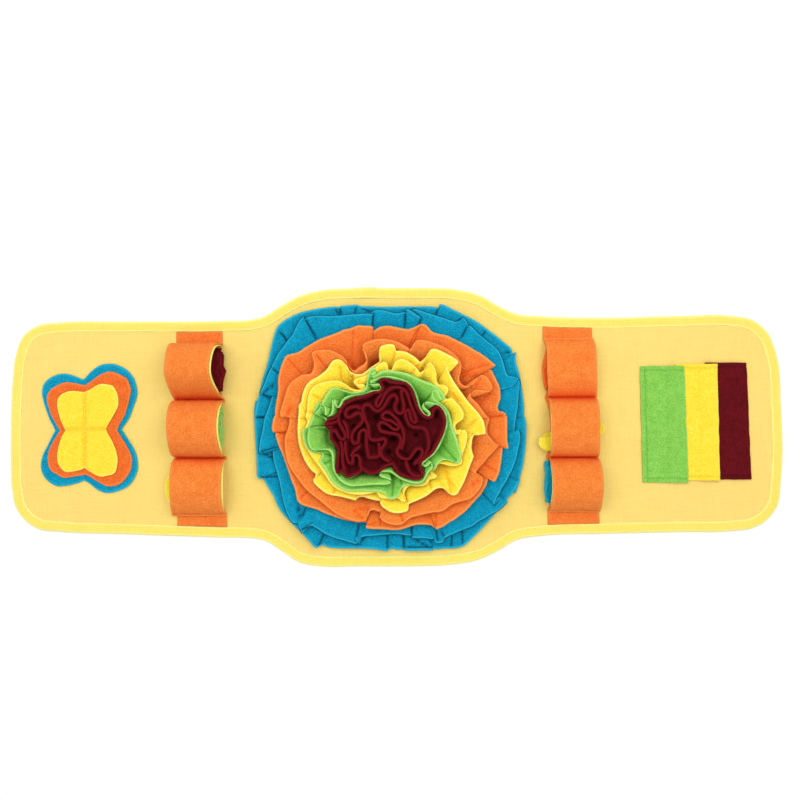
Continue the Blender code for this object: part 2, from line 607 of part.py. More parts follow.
def build_wad(wad):
    """Cloth folded back and forth in layers and tucked through a loop along X."""
    floor = TOP + STRIP_BASE_CLOTH + SEAM_GAP + WAD_CLOTH / 2
    half = wad.width / 2
    line = []
    for layer in range(wad.layers):
        z = floor + layer * WAD_PITCH
        way = 1 if layer % 2 == 0 else -1
        short = half - WAD_TAPER * layer
        line += [(-way * short, z), (way * short, z)]
        if layer + 1 < wad.layers:
            line.append((way * (short + WAD_TURN), z + WAD_PITCH / 2))
    line = np.array(line)
    way = tangents(line, 0, False)
    aside = np.stack([way[:, 1], -way[:, 0]], axis=1)
    section = list(line + aside * WAD_CLOTH / 2) + list((line - aside * WAD_CLOTH / 2)[::-1])
    rings = []
    for share in (0.0, 0.5, 1.0):
        x = wad.left + (wad.right - wad.left) * share
        sway = wad.skew * math.cos(math.pi * share)
        rings.append([(x, wad.y + sway + y, z) for y, z in section])
    add_solid(wad.name, wad.colour, rings)


# ---------------------------------------------------------------- patches
def build_butterfly():
    """Three fleece layers of one wing outline, stacked."""
    layers = [
        ("butterfly_blue", "blue", BUTTERFLY_BLUE),
        ("butterfly_orange", "orange", BUTTERFLY_ORANGE),
        ("butterfly_yellow", "yellow", BUTTERFLY_YELLOW),
    ]
    for level, (name, colour, outline) in enumerate(layers):
        path, starts = curve_through(outline, [False] * len(outline), BUTTERFLY_STEP)
        low = TOP + level * (FLEECE + SEAM_GAP)
        rings = [with_height(path + BUTTERFLY, z) for z in (low, low + FLEECE)]
        add_solid(name, colour, rings)


def build_stripe(stripe):
    """One fleece panel of the striped patch, whose right part lies on the panel beside it."""
    low = TOP + STRIPE_CLOTH / 2
    high = low + STRIPE_CLOTH + SEAM_GAP
    rows = []
    for share in (0.0, 0.5, 1.0):
        y = stripe.upper + (stripe.lower - stripe.upper) * share
        left = stripe.top_left + (stripe.low_left - stripe.top_left) * share
        right = stripe.top_right + (stripe.low_right - stripe.top_right) * share
        if stripe.step is None:
            places = [(left, low), (right, low)]
        else:
            climb = stripe.step + (stripe.low_left - stripe.top_left) * share
            places = [(left, low), (climb - STRIPE_CLIMB, low), (climb, high), (right, high)]
        rows.append([(x, y, z) for x, z in places])
    rings = sheet_rings(np.array(rows), STRIPE_CLOTH, False)
    add_solid(stripe.name, stripe.colour, rings)


def main():
    clear_scene()
    outline = mat_outline()
    build_mat(outline)
    build_binding(outline)
    build_rosette()
    for side, edges in (("left", LEFT_STRIP_BASE), ("right", RIGHT_STRIP_BASE)):
        build_strip_base(side, edges, outline)
    build_loops("left", LEFT_LOOPS, LEFT_SEAMS, LEFT_TABS)
    build_loops("right", RIGHT_LOOPS, RIGHT_SEAMS, RIGHT_TABS)
    for wad in WADS:
        build_wad(wad)
    build_butterfly()
    for stripe in STRIPES:
        build_stripe(stripe)


main()
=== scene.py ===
"""Visual model of the snuffle mat: fleece rosette, loop strips, patches and padded mat, seen from above.

Shapes are worked out in millimetres in the row's frame: the mat lies on z = 0 with its length along X.
"""

import functools
import math
import random
from collections import namedtuple

import bpy
import numpy as np
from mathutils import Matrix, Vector


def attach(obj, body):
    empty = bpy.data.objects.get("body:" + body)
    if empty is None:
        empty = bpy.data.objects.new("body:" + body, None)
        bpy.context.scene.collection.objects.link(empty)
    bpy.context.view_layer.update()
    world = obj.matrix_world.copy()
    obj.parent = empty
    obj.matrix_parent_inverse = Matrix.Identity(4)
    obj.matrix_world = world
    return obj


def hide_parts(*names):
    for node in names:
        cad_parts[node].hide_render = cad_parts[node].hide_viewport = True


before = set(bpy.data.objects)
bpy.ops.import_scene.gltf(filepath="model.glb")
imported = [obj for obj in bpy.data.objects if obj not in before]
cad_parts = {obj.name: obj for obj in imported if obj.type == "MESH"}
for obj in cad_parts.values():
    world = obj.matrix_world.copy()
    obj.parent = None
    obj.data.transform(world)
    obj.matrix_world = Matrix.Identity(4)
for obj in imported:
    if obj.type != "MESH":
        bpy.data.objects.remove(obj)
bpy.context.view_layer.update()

MM = 0.001  # metres
SEAM_GAP = 0.3  # between pieces that are sewn or laid on each other
MAT_THICKNESS = 3.0
BINDING_WIDTH = 11.2  # of the tape on the mat's face
BINDING_CLOTH = 0.8
FLEECE = 1.6  # thickness of the butterfly's layers
LEAF_CLOTH = 2.0  # thickness of the rosette's gathered leaves
RIM_LIFT = BINDING_CLOTH + SEAM_GAP  # of the mat's back over the tape
RIM_SLOPE = 4.0  # over which the mat's back comes down inside the tape
TOP = MAT_THICKNESS + SEAM_GAP  # level of the pieces sewn to the mat

# Outline of the mat: x, upper y, lower y.
OUTLINE = [
    (-425, 5, -35), (-423.4, 46, -72), (-420, 77, -88), (-411, 100, -102), (-395, 111.5, -113),
    (-371, 114.8, -115.8), (-305, 115.8, -118.4), (-216, 116, -121.4), (-186, 116.6, -122.3),
    (-160, 117.8, -123), (-145, 121.8, -125.6), (-128, 132.6, -136), (-106, 144.3, -150), (-84, 150, -154),
    (-40, 152.6, -154), (0, 152.8, -154), (30, 152.8, -153.8), (62, 151.8, -152), (93, 144.5, -146.2),
    (115, 132, -135.5), (134, 124, -124.8), (159, 121.8, -120.6), (225, 120, -118.2), (314, 122, -116.2),
    (372, 122, -115), (394, 117.4, -112), (410, 104, -102.5), (420, 79, -89.5), (425, 22, -58),
]

# ---------------------------------------------------------------- the rosette
ROSETTE = (-6.6, -1.7)  # centre, x and y
SEAM_Z = TOP + FLEECE / 2
CROOK = (3.0, 4.5)  # an inner leaf first runs this far in and this far up from the seam
SEAM_COVER = 13.0  # mm of inner leaf that cover the seam
SEAM_DRAWN = 0.78  # the least share of its radius that the seam is drawn in to
INNER_EDGE_PAINTED_SHADOW = 0.8  # painted shadow: how far an inner leaf's cut edge takes the dye's colour of a hollow
CLEAR_RISE = 32.0  # mm that a leaf's start rises on a full way to its edge
CLEAR_MOST = 0.94  # the largest share of that way
CLEAR_MORE = 0.04  # share of the way that it goes on when it stands clear

# Free edge of each leaf, clockwise from above, x and y from the rosette's centre. C is a sharp corner, T the
# corner of a lap that lies on top and U the fold that lies under it.
C, T, U = "corner", "lap above", "lap below"
BLUE_OUTER = [
    (-137, 60), (-135, 66), (-132, 78), (-129, 92), (-125.5, 105), (-123.5, 110), (-120, 114), (-115, 118),
    (-110, 121), (-104, 124), (-98, 126.5), (-92, 128), (-85, 129.5), (-78, 131), (-70, 132), (-60, 133),
    (-50, 131.8, U), (-54.5, 133.4, T), (-48, 133.8), (-40, 134.5), (-36, 134.7), (-33, 133.3, C), (-20, 133),
    (-8, 132.5), (5, 132.7), (15, 133), (30, 133), (45, 133), (58, 131, U), (54.7, 135.6, T), (60, 134),
    (65, 131.5), (70, 129), (80, 124), (92, 118), (97, 115), (104, 110), (112, 104), (120, 98), (127, 92),
    (132, 88), (135, 77, U), (137.8, 83.2, T), (137.3, 79), (137, 74), (138.5, 68), (141, 60), (142.5, 53),
    (144, 45), (145, 37), (146, 30), (146.7, 22), (146.5, 6, U), (147.5, 11.6, T), (148.5, 5), (148.7, -3),
    (148.7, -12), (148, -20), (146.5, -33), (145.5, -40), (144, -47), (142.5, -53), (141, -60), (139, -67),
    (137.3, -71.5, U), (141.8, -57, T), (138, -64), (134, -70.5), (129, -76), (125, -81.5), (120, -87),
    (115, -93), (110, -99), (104, -105.5), (98, -112), (92, -118), (86, -124), (81, -128.5), (75, -130.5),
    (67, -131.5), (60, -131.5), (52, -132.5), (42, -131.3, U), (47, -133.2, T), (40, -133.2), (30, -133.2),
    (22, -133.5), (15.2, -133.4, T), (20, -131.5, U), (12, -132.8), (5, -132.5), (2, -131.2, U),
    (-3, -133.8, T), (-9, -133.2), (-15, -132), (-23, -131.5), (-35, -131.2), (-47, -131.2), (-60, -131),
    (-68, -130.3), (-74, -127.5, U), (-80, -130.4, T), (-83.5, -128.5), (-87, -124), (-92, -119),
    (-97, -113.5), (-102, -109), (-107, -104), (-112, -99), (-117, -93.5), (-121, -88), (-124, -82),
    (-126, -77), (-129, -71), (-133, -65), (-136, -60), (-138.5, -55.5), (-139.5, -50, U), (-142.6, -55.5, T),
    (-144.3, -53), (-145, -45), (-145.5, -34), (-146.3, -22), (-147, -12), (-147.7, -3), (-148, 5),
    (-148.4, 13), (-148.6, 20), (-147.2, 29.8, U), (-148, 12.3, T), (-146.5, 20), (-144.8, 29),
    (-142.5, 38), (-140.5, 47),
]
BLUE_INNER = [
    (-131, 62), (-126, 72), (-121, 82), (-115, 90), (-110, 97), (-106, 102), (-103, 108), (-100, 114),
    (-97, 119), (-94.3, 121.5, T), (-99, 111, U), (-91, 121), (-84, 122.7), (-75, 123), (-66, 122.5),
    (-58, 122.5), (-50, 123.3), (-42, 124), (-35, 124.5), (-25, 125), (-18.8, 124.6, T), (-26, 121, U),
    (-16, 129.3), (-8, 129), (0, 127), (8, 125.5), (13, 126.5), (17, 127), (25, 124, U), (18.5, 130.5, T),
    (24, 127), (29, 123.5), (33.7, 120.5, T), (26, 124, U), (24, 130.8, C), (30, 129.8), (38, 127),
    (50, 123), (58, 120.5), (66, 117.5), (72, 115.8), (76, 117), (80, 120.7, T), (83, 117, C),
    (85.8, 112, C), (77, 113, U), (88, 112), (93, 107), (98, 102), (103, 98), (108, 93.5), (113, 90),
    (117, 86), (120, 81), (122, 76), (124, 70), (126, 63), (128.3, 57.8), (134, 56.5), (140.3, 54.5, T),
    (137, 50), (132, 44.7, C), (127, 53, U), (141, 53), (141.5, 45), (140.5, 38), (140, 30), (139.3, 22),
    (138, 14), (137, 8), (136.5, 2), (135, -8), (133.5, -14, U), (140.3, -2.2, T), (141.5, -8),
    (140.7, -16), (139, -24), (137.3, -32), (135, -39), (132.5, -45), (129, -52), (126, -58), (122, -64),
    (119, -70), (116, -75), (114.3, -80), (113.3, -83.2, T), (120, -76, U), (128, -79.5, C), (122, -86),
    (116, -90.5), (109, -94), (103, -98), (96, -101.5), (90, -106), (84, -108.5), (78, -110.5), (70, -114),
    (63, -117), (59, -119.5), (57.5, -123.7, T), (54, -124.6), (50, -124.4), (52, -116, U), (46, -120.5),
    (41, -119.7), (33, -119.2), (27, -118.9), (24.2, -118.7, T), (30, -115, U), (23, -116.7), (18, -116.3),
    (12, -115.2), (5, -115), (-2, -115.2), (-8, -115.6), (-15, -116.2), (-22, -116.7), (-28, -117),
    (-31.5, -118.5), (-34.5, -126.4, T), (-37.3, -119, C), (-29, -113, U), (-36, -125.8), (-42, -124.5),
    (-50, -122), (-60, -119), (-68, -115.5), (-74, -112.5), (-80, -108.5), (-86, -105.5), (-91, -110),
    (-95.5, -113.9, T), (-98.5, -108), (-99.4, -102), (-90, -99, U), (-107, -102), (-110, -97),
    (-112.5, -92), (-114, -87), (-115.5, -82), (-117, -76), (-118, -70), (-119.5, -64), (-120.5, -58),
    (-121.5, -54), (-123, -48), (-125, -42), (-126.5, -36), (-127.5, -28), (-129, -20.5, U),
    (-141.6, -28, T), (-142.3, -24), (-142, -20), (-141, -14), (-140, -8), (-138.5, -2), (-137.5, 5),
    (-136, 12), (-134, 18), (-132, 24), (-130, 30), (-128, 36), (-126, 43), (-125.2, 49.2, U),
    (-141, 37.7, T), (-140, 41), (-137, 47), (-134, 55),
]
ORANGE_OUTER = [
    (-119, 44), (-119.2, 50), (-118.5, 57), (-116.5, 65), (-113.5, 73), (-110.5, 78), (-106, 79.7),
    (-100, 81), (-95, 83.5), (-90, 87), (-84, 90.5), (-77, 94.5), (-70, 97.5), (-62, 100.3), (-55, 103),
    (-48, 106), (-42, 107.3), (-37, 109.3), (-34, 110.2), (-28, 110), (-22, 109.7), (-18.3, 109.3, T),
    (-24, 103, U), (-16.8, 105.3), (-14, 107), (-10, 109), (-5, 110), (0, 110), (6, 108.7), (12, 107.5),
    (20, 106.5), (25, 108), (29, 109.8), (32.5, 112, T), (27, 105, U), (35, 112.3), (38, 111.5), (41, 109),
    (44, 105), (49, 102.5), (55, 101), (61, 99.8), (68, 96.5), (75, 93), (82, 89.5), (90, 84.5), (98, 80),
    (104, 75.5), (110, 70.5), (112.8, 68, T), (105, 65, U), (109.3, 62.3), (112, 57), (115, 51),
    (117.5, 45.5), (118.5, 39), (118.3, 32), (116.5, 26.5), (115.7, 22), (117.3, 19), (121, 18.3),
    (124, 16.5), (119, 7, U), (125, 14, T), (125.3, 8), (125.2, 0), (125.3, -8), (125.5, -14), (126.3, -18),
    (126.7, -20.8, T), (119, -14, U), (121, -21), (120.3, -26), (119.5, -33), (118.3, -40), (117, -47),
    (114.8, -51.5), (113.5, -54.5), (111.5, -56.2), (108.5, -55, T), (112, -47, U), (105.3, -54.7),
    (104, -59), (101, -64.5), (97.5, -70), (93, -75), (88, -80.5), (83, -86), (78, -90.5), (74.5, -93),
    (70, -96.5), (64, -99.5), (59, -103), (54, -105.5), (49.3, -107.4, T), (56, -101, U), (47, -105.7),
    (45, -103.7), (40, -102.8), (33, -102.4), (27, -103), (23, -104), (17, -106), (10, -107.8), (2, -108),
    (-6, -107.2), (-14, -106.8), (-20, -106.6), (-25.4, -105.6, T), (-19, -99, U), (-25.6, -100.3),
    (-30, -100), (-36, -99.5), (-43, -98.5), (-50, -97), (-57, -95), (-64, -92.5), (-71, -90), (-77, -87),
    (-84, -84.7), (-90, -83), (-95, -81), (-98.5, -78), (-100, -73), (-101, -67), (-103, -61), (-106, -54),
    (-108, -47.5), (-110, -42), (-112, -36), (-114, -30.5), (-116, -25), (-118.5, -20), (-120.5, -14),
    (-122, -9.5), (-122.5, 3, U), (-124.4, -3.4, T), (-125.6, -1), (-125.6, 3), (-124.7, 8), (-123.8, 12),
    (-122.7, 14), (-122.3, 20), (-121, 29), (-119.8, 36),
]
ORANGE_INNER = [
    (-113, 30), (-111, 37), (-108.5, 45), (-103.5, 51), (-98, 55), (-93, 57.7), (-88, 58.2), (-84, 58.8),
    (-82, 61.5), (-80.7, 66), (-80.7, 72), (-82.3, 77), (-82.8, 81), (-80, 83.3), (-74, 84.3), (-67, 84.5),
    (-60, 83), (-54, 80), (-49, 76.5), (-45.5, 71.5), (-42, 65.5), (-37, 62.3), (-34, 64.5), (-31, 66.5),
    (-27, 69), (-24.5, 73), (-24.5, 78), (-27, 84), (-29, 88), (-27.5, 91), (-22, 93.7), (-15, 95.5),
    (-8, 96), (0, 95.3), (6, 93.8), (12, 91), (17, 88), (20.5, 85.7, T), (14, 85, U), (23, 86), (26, 91.5),
    (29, 94.5), (33, 95.3), (39, 94.5), (46, 92.5), (53, 90), (60, 86.5), (66, 82.5), (71, 78), (75, 72.5),
    (76.5, 67), (75.7, 62), (74.5, 57), (74.5, 51), (78, 46.8), (83, 45.7), (88, 46.5), (91, 50), (94, 55),
    (98, 57.5), (103, 56), (107, 51), (109.5, 45), (109, 41.5), (104, 41), (97, 42), (90, 41.3), (86.5, 38.5),
    (86, 35), (89, 31), (93, 27.5), (97, 22), (101, 16.5), (104.5, 12.5, T), (98, 18, U), (106.5, 10),
    (105, 6), (104, 0), (104.5, -5), (108, -10), (113, -15), (117.3, -16.8, C), (112, -23), (106, -29),
    (100, -36.5), (94, -43), (92, -46), (94, -48.5), (98, -50), (99.5, -53), (98.5, -59), (94.5, -66),
    (90, -71), (85, -74.5), (80, -76), (74, -77.5), (68, -79.5), (63, -82.5), (59, -86), (54, -88),
    (46, -88.7), (38, -90), (30, -92), (24, -93.5), (19, -96.5), (16, -99.5), (12, -101.5), (8, -102),
    (2, -101.5), (-4, -99.7), (-8, -97), (-10.3, -93.5, T), (-6, -88, U), (-12, -88), (-17, -86.3),
    (-21, -87.5), (-23, -92), (-25.5, -97.5), (-31, -99), (-38, -98.3), (-45, -96.4), (-53, -93),
    (-59, -89.5), (-65, -84.6), (-71, -79.6), (-77, -74.7), (-83, -70), (-87, -66.5), (-91, -62.5),
    (-96, -56), (-101, -49.5), (-105, -43.5), (-108.3, -37), (-110.3, -31), (-111.5, -24), (-112.3, -17),
    (-112, -11), (-111, -6), (-109.5, -2), (-108, 3), (-107, 8), (-107, 12), (-107, 20, U), (-116, 13, T),
    (-116.5, 18), (-115, 23),
]
YELLOW_OUTER = [
    (-57, 73.5), (-52, 73), (-48, 70), (-45, 65), (-41, 60.8), (-36, 58.2), (-30, 58), (-25, 61), (-20, 65),
    (-15, 68.3), (-11, 71.3), (-9.5, 74.5), (-10, 79), (-11, 83.5), (-9.5, 87), (-5, 89), (1, 89.6),
    (5, 88.5), (6, 85.5), (6.5, 82.5, C), (12, 82.4), (18, 81), (24, 77.7), (29, 74), (31.7, 70.7, C),
    (34, 72.3), (38, 76), (41, 80.5), (43, 83.8), (47, 84.7), (53, 83), (59, 80), (66, 76.3), (71.5, 72.3),
    (73, 69.5, C), (67.5, 71.3), (63, 70), (61, 66), (62.3, 61), (65, 55), (68.5, 49), (73, 42.5),
    (78, 35.5), (84, 27.5), (90, 21), (95, 15), (98.5, 9.5), (100.5, 2), (101, -5, C), (95, -5.5), (89.5, -6),
    (87.3, -9), (86.5, -14), (86, -19), (87, -24), (88.3, -28.5), (87, -32.5), (84, -40), (81.5, -47.5),
    (78, -56), (74, -63.5), (70.5, -68.5), (66.5, -69.7), (63, -68), (59.5, -64), (55, -61.8), (50, -62.3),
    (45.5, -65), (41, -68.5), (35, -72), (28, -75.3), (22, -77.8), (20, -79, C), (20, -82), (19, -85.5),
    (15, -87.3), (8, -88.2), (1, -87), (-4, -84), (-8, -81), (-9.8, -77.5, T), (-2, -76, U), (-15, -75),
    (-22, -73.2), (-29, -71.3), (-33, -72), (-36, -75.3, C), (-41, -73.8), (-48, -72), (-55, -70.5),
    (-62, -69.5), (-68, -67), (-74, -62.5), (-79, -57.5), (-81, -53.7, C), (-78.5, -50), (-78, -47.5),
    (-82, -44), (-86.5, -38), (-90.5, -31), (-93.5, -23), (-96, -14), (-97, -5), (-97, 4), (-96.5, 12),
    (-96, 19), (-96, 25.5, C), (-93.3, 28.5, C), (-92.5, 34), (-91, 40), (-88, 46.5), (-83, 51.5),
    (-77, 54.7), (-71, 59), (-66, 63.5), (-63, 68.5), (-60, 72),
]
YELLOW_INNER = [
    (-63, 51.3), (-56, 51.6), (-50, 49.7), (-45, 46.5), (-40, 43.2), (-35, 41.6), (-30, 41.6), (-26.5, 43.3),
    (-26, 46.5), (-29, 47.8), (-34, 47.5), (-37.5, 49), (-37, 52), (-33, 54.3), (-28, 55.7), (-24, 57.5),
    (-19, 61.5), (-14, 66), (-10, 69.3), (-6, 71), (-3, 69.8), (-2, 66), (-1, 62.5), (2, 62.5), (4, 67),
    (6.5, 71.5), (10.5, 74.2), (14.5, 74.4), (19, 72.3), (24.5, 68.3), (29, 64), (32, 59.5, C), (36.5, 62.5),
    (39.5, 68), (42, 71.3), (45, 69), (48, 64), (49.3, 58), (49.5, 52), (51.5, 47.5), (58, 46.8),
    (62, 43), (60, 37), (57.5, 34), (60.5, 32), (65, 33.5), (69, 30), (75, 23), (78, 17), (77, 11), (73, 8),
    (69, 4), (70.5, -2), (73, -6), (76, -0.5), (80, -1), (81.8, -6), (81, -13), (79.5, -19), (77, -25),
    (76.5, -31), (76, -35.5), (70, -38.3), (63, -38), (57, -36.7), (52, -36), (49, -38.5), (47, -42),
    (43, -46), (46, -49), (50, -48.5), (47, -51.5), (42, -53), (40, -57), (34, -59.5), (28, -59.8),
    (21, -59.2), (18, -61.5), (15.7, -66), (15.3, -71), (17, -75.5), (13, -76), (9, -72.5), (4, -73.8),
    (-3, -73), (-9.7, -71.8), (-14, -66.6), (-21, -67.5), (-30, -68.7), (-40, -68), (-49, -65.5),
    (-57, -61.5), (-63, -55.5), (-68, -48), (-73, -41), (-78, -34), (-84, -26), (-90, -16), (-92, -4),
    (-88, 4), (-86.5, 10), (-88, 12), (-87, 20), (-86.5, 28), (-85.5, 36), (-82, 43.5), (-76, 48), (-70, 50),
]
GREEN_OUTER = [
    (-59, 43.5), (-54, 43.3), (-49, 41.5), (-44, 40), (-38, 38.8), (-32, 39), (-27.5, 41), (-24.5, 45),
    (-23.5, 51), (-22.5, 57), (-20.5, 62), (-17.5, 64.8), (-15, 63.3), (-15.5, 60.5), (-18.5, 58.5),
    (-18.5, 56.5), (-15.5, 56.3), (-12, 58.5), (-8, 61), (-3, 61.7), (3, 61.3), (10, 60.2), (17, 58.8),
    (24, 56), (31, 52.8), (38, 50), (45, 47.3), (50, 44.3), (54, 40.5), (57, 36.5), (58, 33), (56, 31.5),
    (54, 33.5), (52, 37.5), (50.3, 41), (47.5, 41.3), (45.7, 38), (46.3, 34), (49, 30.5), (53, 27.5),
    (57.5, 24), (61, 19.5), (63.2, 14), (64.8, 8), (66.2, 3), (68, -3), (70.3, -9.5), (72.3, -16),
    (74.3, -23), (75.3, -29), (73.5, -33.7), (70.5, -36), (67, -34.5), (62, -32.5), (57, -32), (53, -33.5),
    (50, -37), (48, -41), (44, -43.2), (40.7, -46), (39, -50), (37, -54), (33, -57), (28, -58), (22, -58),
    (17, -58.7), (13.5, -60.7), (11.5, -64.5), (9.7, -69), (7, -71.7), (3, -72.6), (-1, -72.5),
    (-3, -70.3), (-4.3, -67.5), (-8, -66.3), (-13, -65), (-20, -64.7), (-28, -64.5), (-36, -64.6),
    (-43, -64.5), (-50, -62.3), (-56, -58.3), (-61, -53.3), (-64.3, -47.5), (-67.3, -42), (-71, -37),
    (-73.5, -32.5, C), (-71, -28.5), (-70.5, -25, C), (-76, -25), (-81, -24), (-86, -20), (-89, -14),
    (-91, -6.5), (-91.5, 0, C), (-85, 2, C), (-83, 8), (-80.5, 15), (-79, 20), (-77, 25), (-74.5, 28.6),
    (-73.3, 26.5), (-72.5, 24.5), (-70, 29.5), (-67.5, 34), (-64, 39.5), (-61, 42.6),
]
GREEN_INNER = [
    (-50, 30.5), (-46, 34), (-40, 36.3), (-33, 37.3), (-27, 38.3), (-20, 40.3), (-13, 41.2), (-9.3, 42.5),
    (-8.8, 45.5), (-11, 47.8), (-15, 47.9), (-19, 47.8), (-20.7, 49.3), (-19.3, 51.6), (-14.5, 53.2),
    (-9.5, 55.6), (-3, 56), (5, 55.2), (12, 53.2), (18, 50.8), (23, 47), (26.5, 42), (29, 36), (30.7, 30),
    (32.5, 23), (36, 17), (39.3, 14.6), (42.5, 15.3), (42.3, 18), (39, 21.3), (36, 25), (36.5, 28),
    (40.5, 29.3), (46, 28.4), (51.5, 26.3), (56, 22.5), (59.3, 17), (60.7, 10.5), (60.3, 4), (58.3, -3.5),
    (55.3, -11), (51.8, -18), (47.8, -24), (42.8, -28.4), (37.5, -32.7), (34.7, -35.7), (35.3, -38.2),
    (38.5, -38.7), (41.3, -36.5), (43.8, -34.7), (45.5, -37), (44.5, -41.5), (41, -45), (38.5, -50),
    (35.5, -54.7), (30, -56.4), (24, -55.9), (17, -54), (11, -51.3), (6, -47.8), (1, -44.8), (-4, -44.3),
    (-9, -44.8), (-10.7, -47.3), (-8.5, -49.6), (-3, -51.3), (1.5, -53.3, C), (1.8, -56.3, C), (-3, -57.4),
    (-12, -57.5), (-22, -58), (-32, -59), (-40, -59), (-46, -57), (-52, -53), (-56.5, -47), (-59, -40),
    (-60, -32), (-60.3, -26), (-62.5, -22.3), (-67, -21), (-73, -21.5), (-78.5, -22), (-82.3, -20.3),
    (-84.8, -16), (-86, -10), (-85.7, -4), (-84.8, 1.5, C), (-76, 2.7), (-66, 4), (-68, 12), (-74, 14),
    (-80, 16.5, C), (-77.5, 18), (-75, 21), (-72, 25), (-69, 24), (-66, 14.5), (-62, 16), (-60.3, 20),
    (-60, 26), (-59, 32), (-57.8, 27), (-55, 23.5), (-52, 25.5),
]
MAROON_OUTER = [
    (-5, 52.5), (2, 49.5), (10, 48.5), (17, 48), (21, 44), (24, 37), (27, 28), (31, 20), (36, 14.5),
    (40, 12.8), (44, 13.5), (45, 18), (47, 22), (50, 23.5), (53, 21.5), (56, 15), (57.5, 9), (57, 3),
    (55, -3), (52, -10), (48, -17), (44, -24), (38, -29), (33, -33), (32, -36), (33, -42), (34, -47),
    (32, -50), (27, -51), (22, -50), (15, -48), (9, -45), (6, -40), (3, -35.5), (-2, -37), (-8, -41),
    (-12, -44), (-18, -45.5), (-24, -44), (-28, -41), (-31, -44), (-38, -47), (-43, -48.5), (-46, -47),
    (-47, -43), (-50, -43), (-54, -44), (-54, -38), (-53.5, -28), (-53, -20), (-56, -15), (-60, -10),
    (-61, -5), (-60.5, 0), (-61, 3), (-65, 3), (-66.5, 6), (-64, 9.5), (-58, 12), (-54, 15), (-51, 21),
    (-46, 27), (-40, 30.5), (-30, 33.5), (-22, 36), (-16, 39), (-10, 39.5), (-7, 43), (-9, 48), (-9, 51),
]

# Folds of the maroon strip's inner leaf, each an upright ribbon: x and y along its free edge.
MAROON_FOLDS = [
    [(-8, 37), (-12, 32), (-14, 27), (-12.5, 24), (-10, 26.5), (-7, 32), (-3, 39.5), (2, 43), (8, 44.5),
     (13, 43), (18, 38), (21, 30), (23, 24), (25.5, 17), (27.5, 11), (27.5, 8.5), (26, 7.5), (24, 9),
     (22, 13), (21, 18), (19.5, 20.5), (17.5, 19.5), (16.5, 16), (18, 11), (20, 6), (24, 3), (30, 2),
     (35, 1.5), (38, -1), (40, -8), (41, -14), (40, -20), (37, -26), (33, -31), (29, -35)],
    [(12.5, 42), (13, 35), (14.5, 28), (15, 22), (13.5, 18), (11, 17), (8, 18), (6, 21), (6, 25.5), (8, 31),
     (7, 34.5), (4, 36), (0.5, 34), (-3, 29), (-7, 22.5), (-10, 20), (-13, 19.5), (-17, 22), (-21, 25.5),
     (-25, 25.5), (-28, 21.5), (-27, 16), (-25, 10), (-22.5, 5), (-22, 0), (-21.5, -5), (-20, -9.5),
     (-15, -11), (-10, -10.5), (-5, -9.5), (-4, -13), (-7, -18), (-9, -22), (-8, -27), (-4, -31), (0, -33)],
    [(-30, 22), (-34, 24), (-39, 23.5), (-44, 21), (-46, 17), (-44, 13), (-40, 13.5), (-36, 16), (-31, 17),
     (-28.5, 14), (-28, 9), (-31, 5), (-36, 0), (-39, -5), (-39, -11), (-37, -14), (-34, -14), (-32, -9),
     (-31, -3), (-28, -0.5), (-25, -1), (-24, -8), (-24, -15), (-23, -22), (-21.5, -29, C), (-16, -28.5),
     (-10.5, -27.5, C), (-10.5, -20), (-11, -14)],
    [(-50, 21), (-53, 15), (-52.5, 8), (-50, 3), (-47, -3), (-46, -7), (-48, -10), (-51, -9), (-54, -5),
     (-57, -1), (-60, -2)],
    [(-54, 9), (-59.5, 7), (-66, 6)],
    [(-48, 9), (-45, 3), (-43.5, -4), (-43, -9)],
    [(-51, -12), (-49, -20), (-49, -30), (-48, -38), (-47, -42)],
    [(-46, -12), (-46, -20), (-44, -30), (-42, -34.5), (-39.5, -35), (-38, -29), (-36, -26.5), (-33, -27),
     (-31, -31), (-30, -38), (-28, -41)],
    [(-40, -28), (-38, -24), (-34, -20), (-31, -17)],
    [(17, -32), (19, -39), (22, -45), (27, -48), (32, -48)],
]
HEART_FOLD = [
    (12, -20), (14, -14), (15, -8), (14, -1), (12, 4), (9, 9), (4, 14.5), (0, 17.5), (-4, 18), (-7, 15.5),
    (-7, 12.5), (-4, 10.5), (1, 9.5), (6, 6.5), (9.5, 3), (9, 1), (5, 0.5), (0, 4), (-5, 7), (-9, 7.5),
    (-11, 4), (-9.5, 0), (-5, -2.5), (1, -3.5), (7, -4.5), (10.5, -6.5), (12, -11), (10.5, -17), (8, -22),
    (10, -27), (15, -30), (20, -30), (23, -27), (26, -22.5), (30, -19.5), (33.5, -21), (34, -25), (32, -29),
    (28, -33), (26, -36),
]

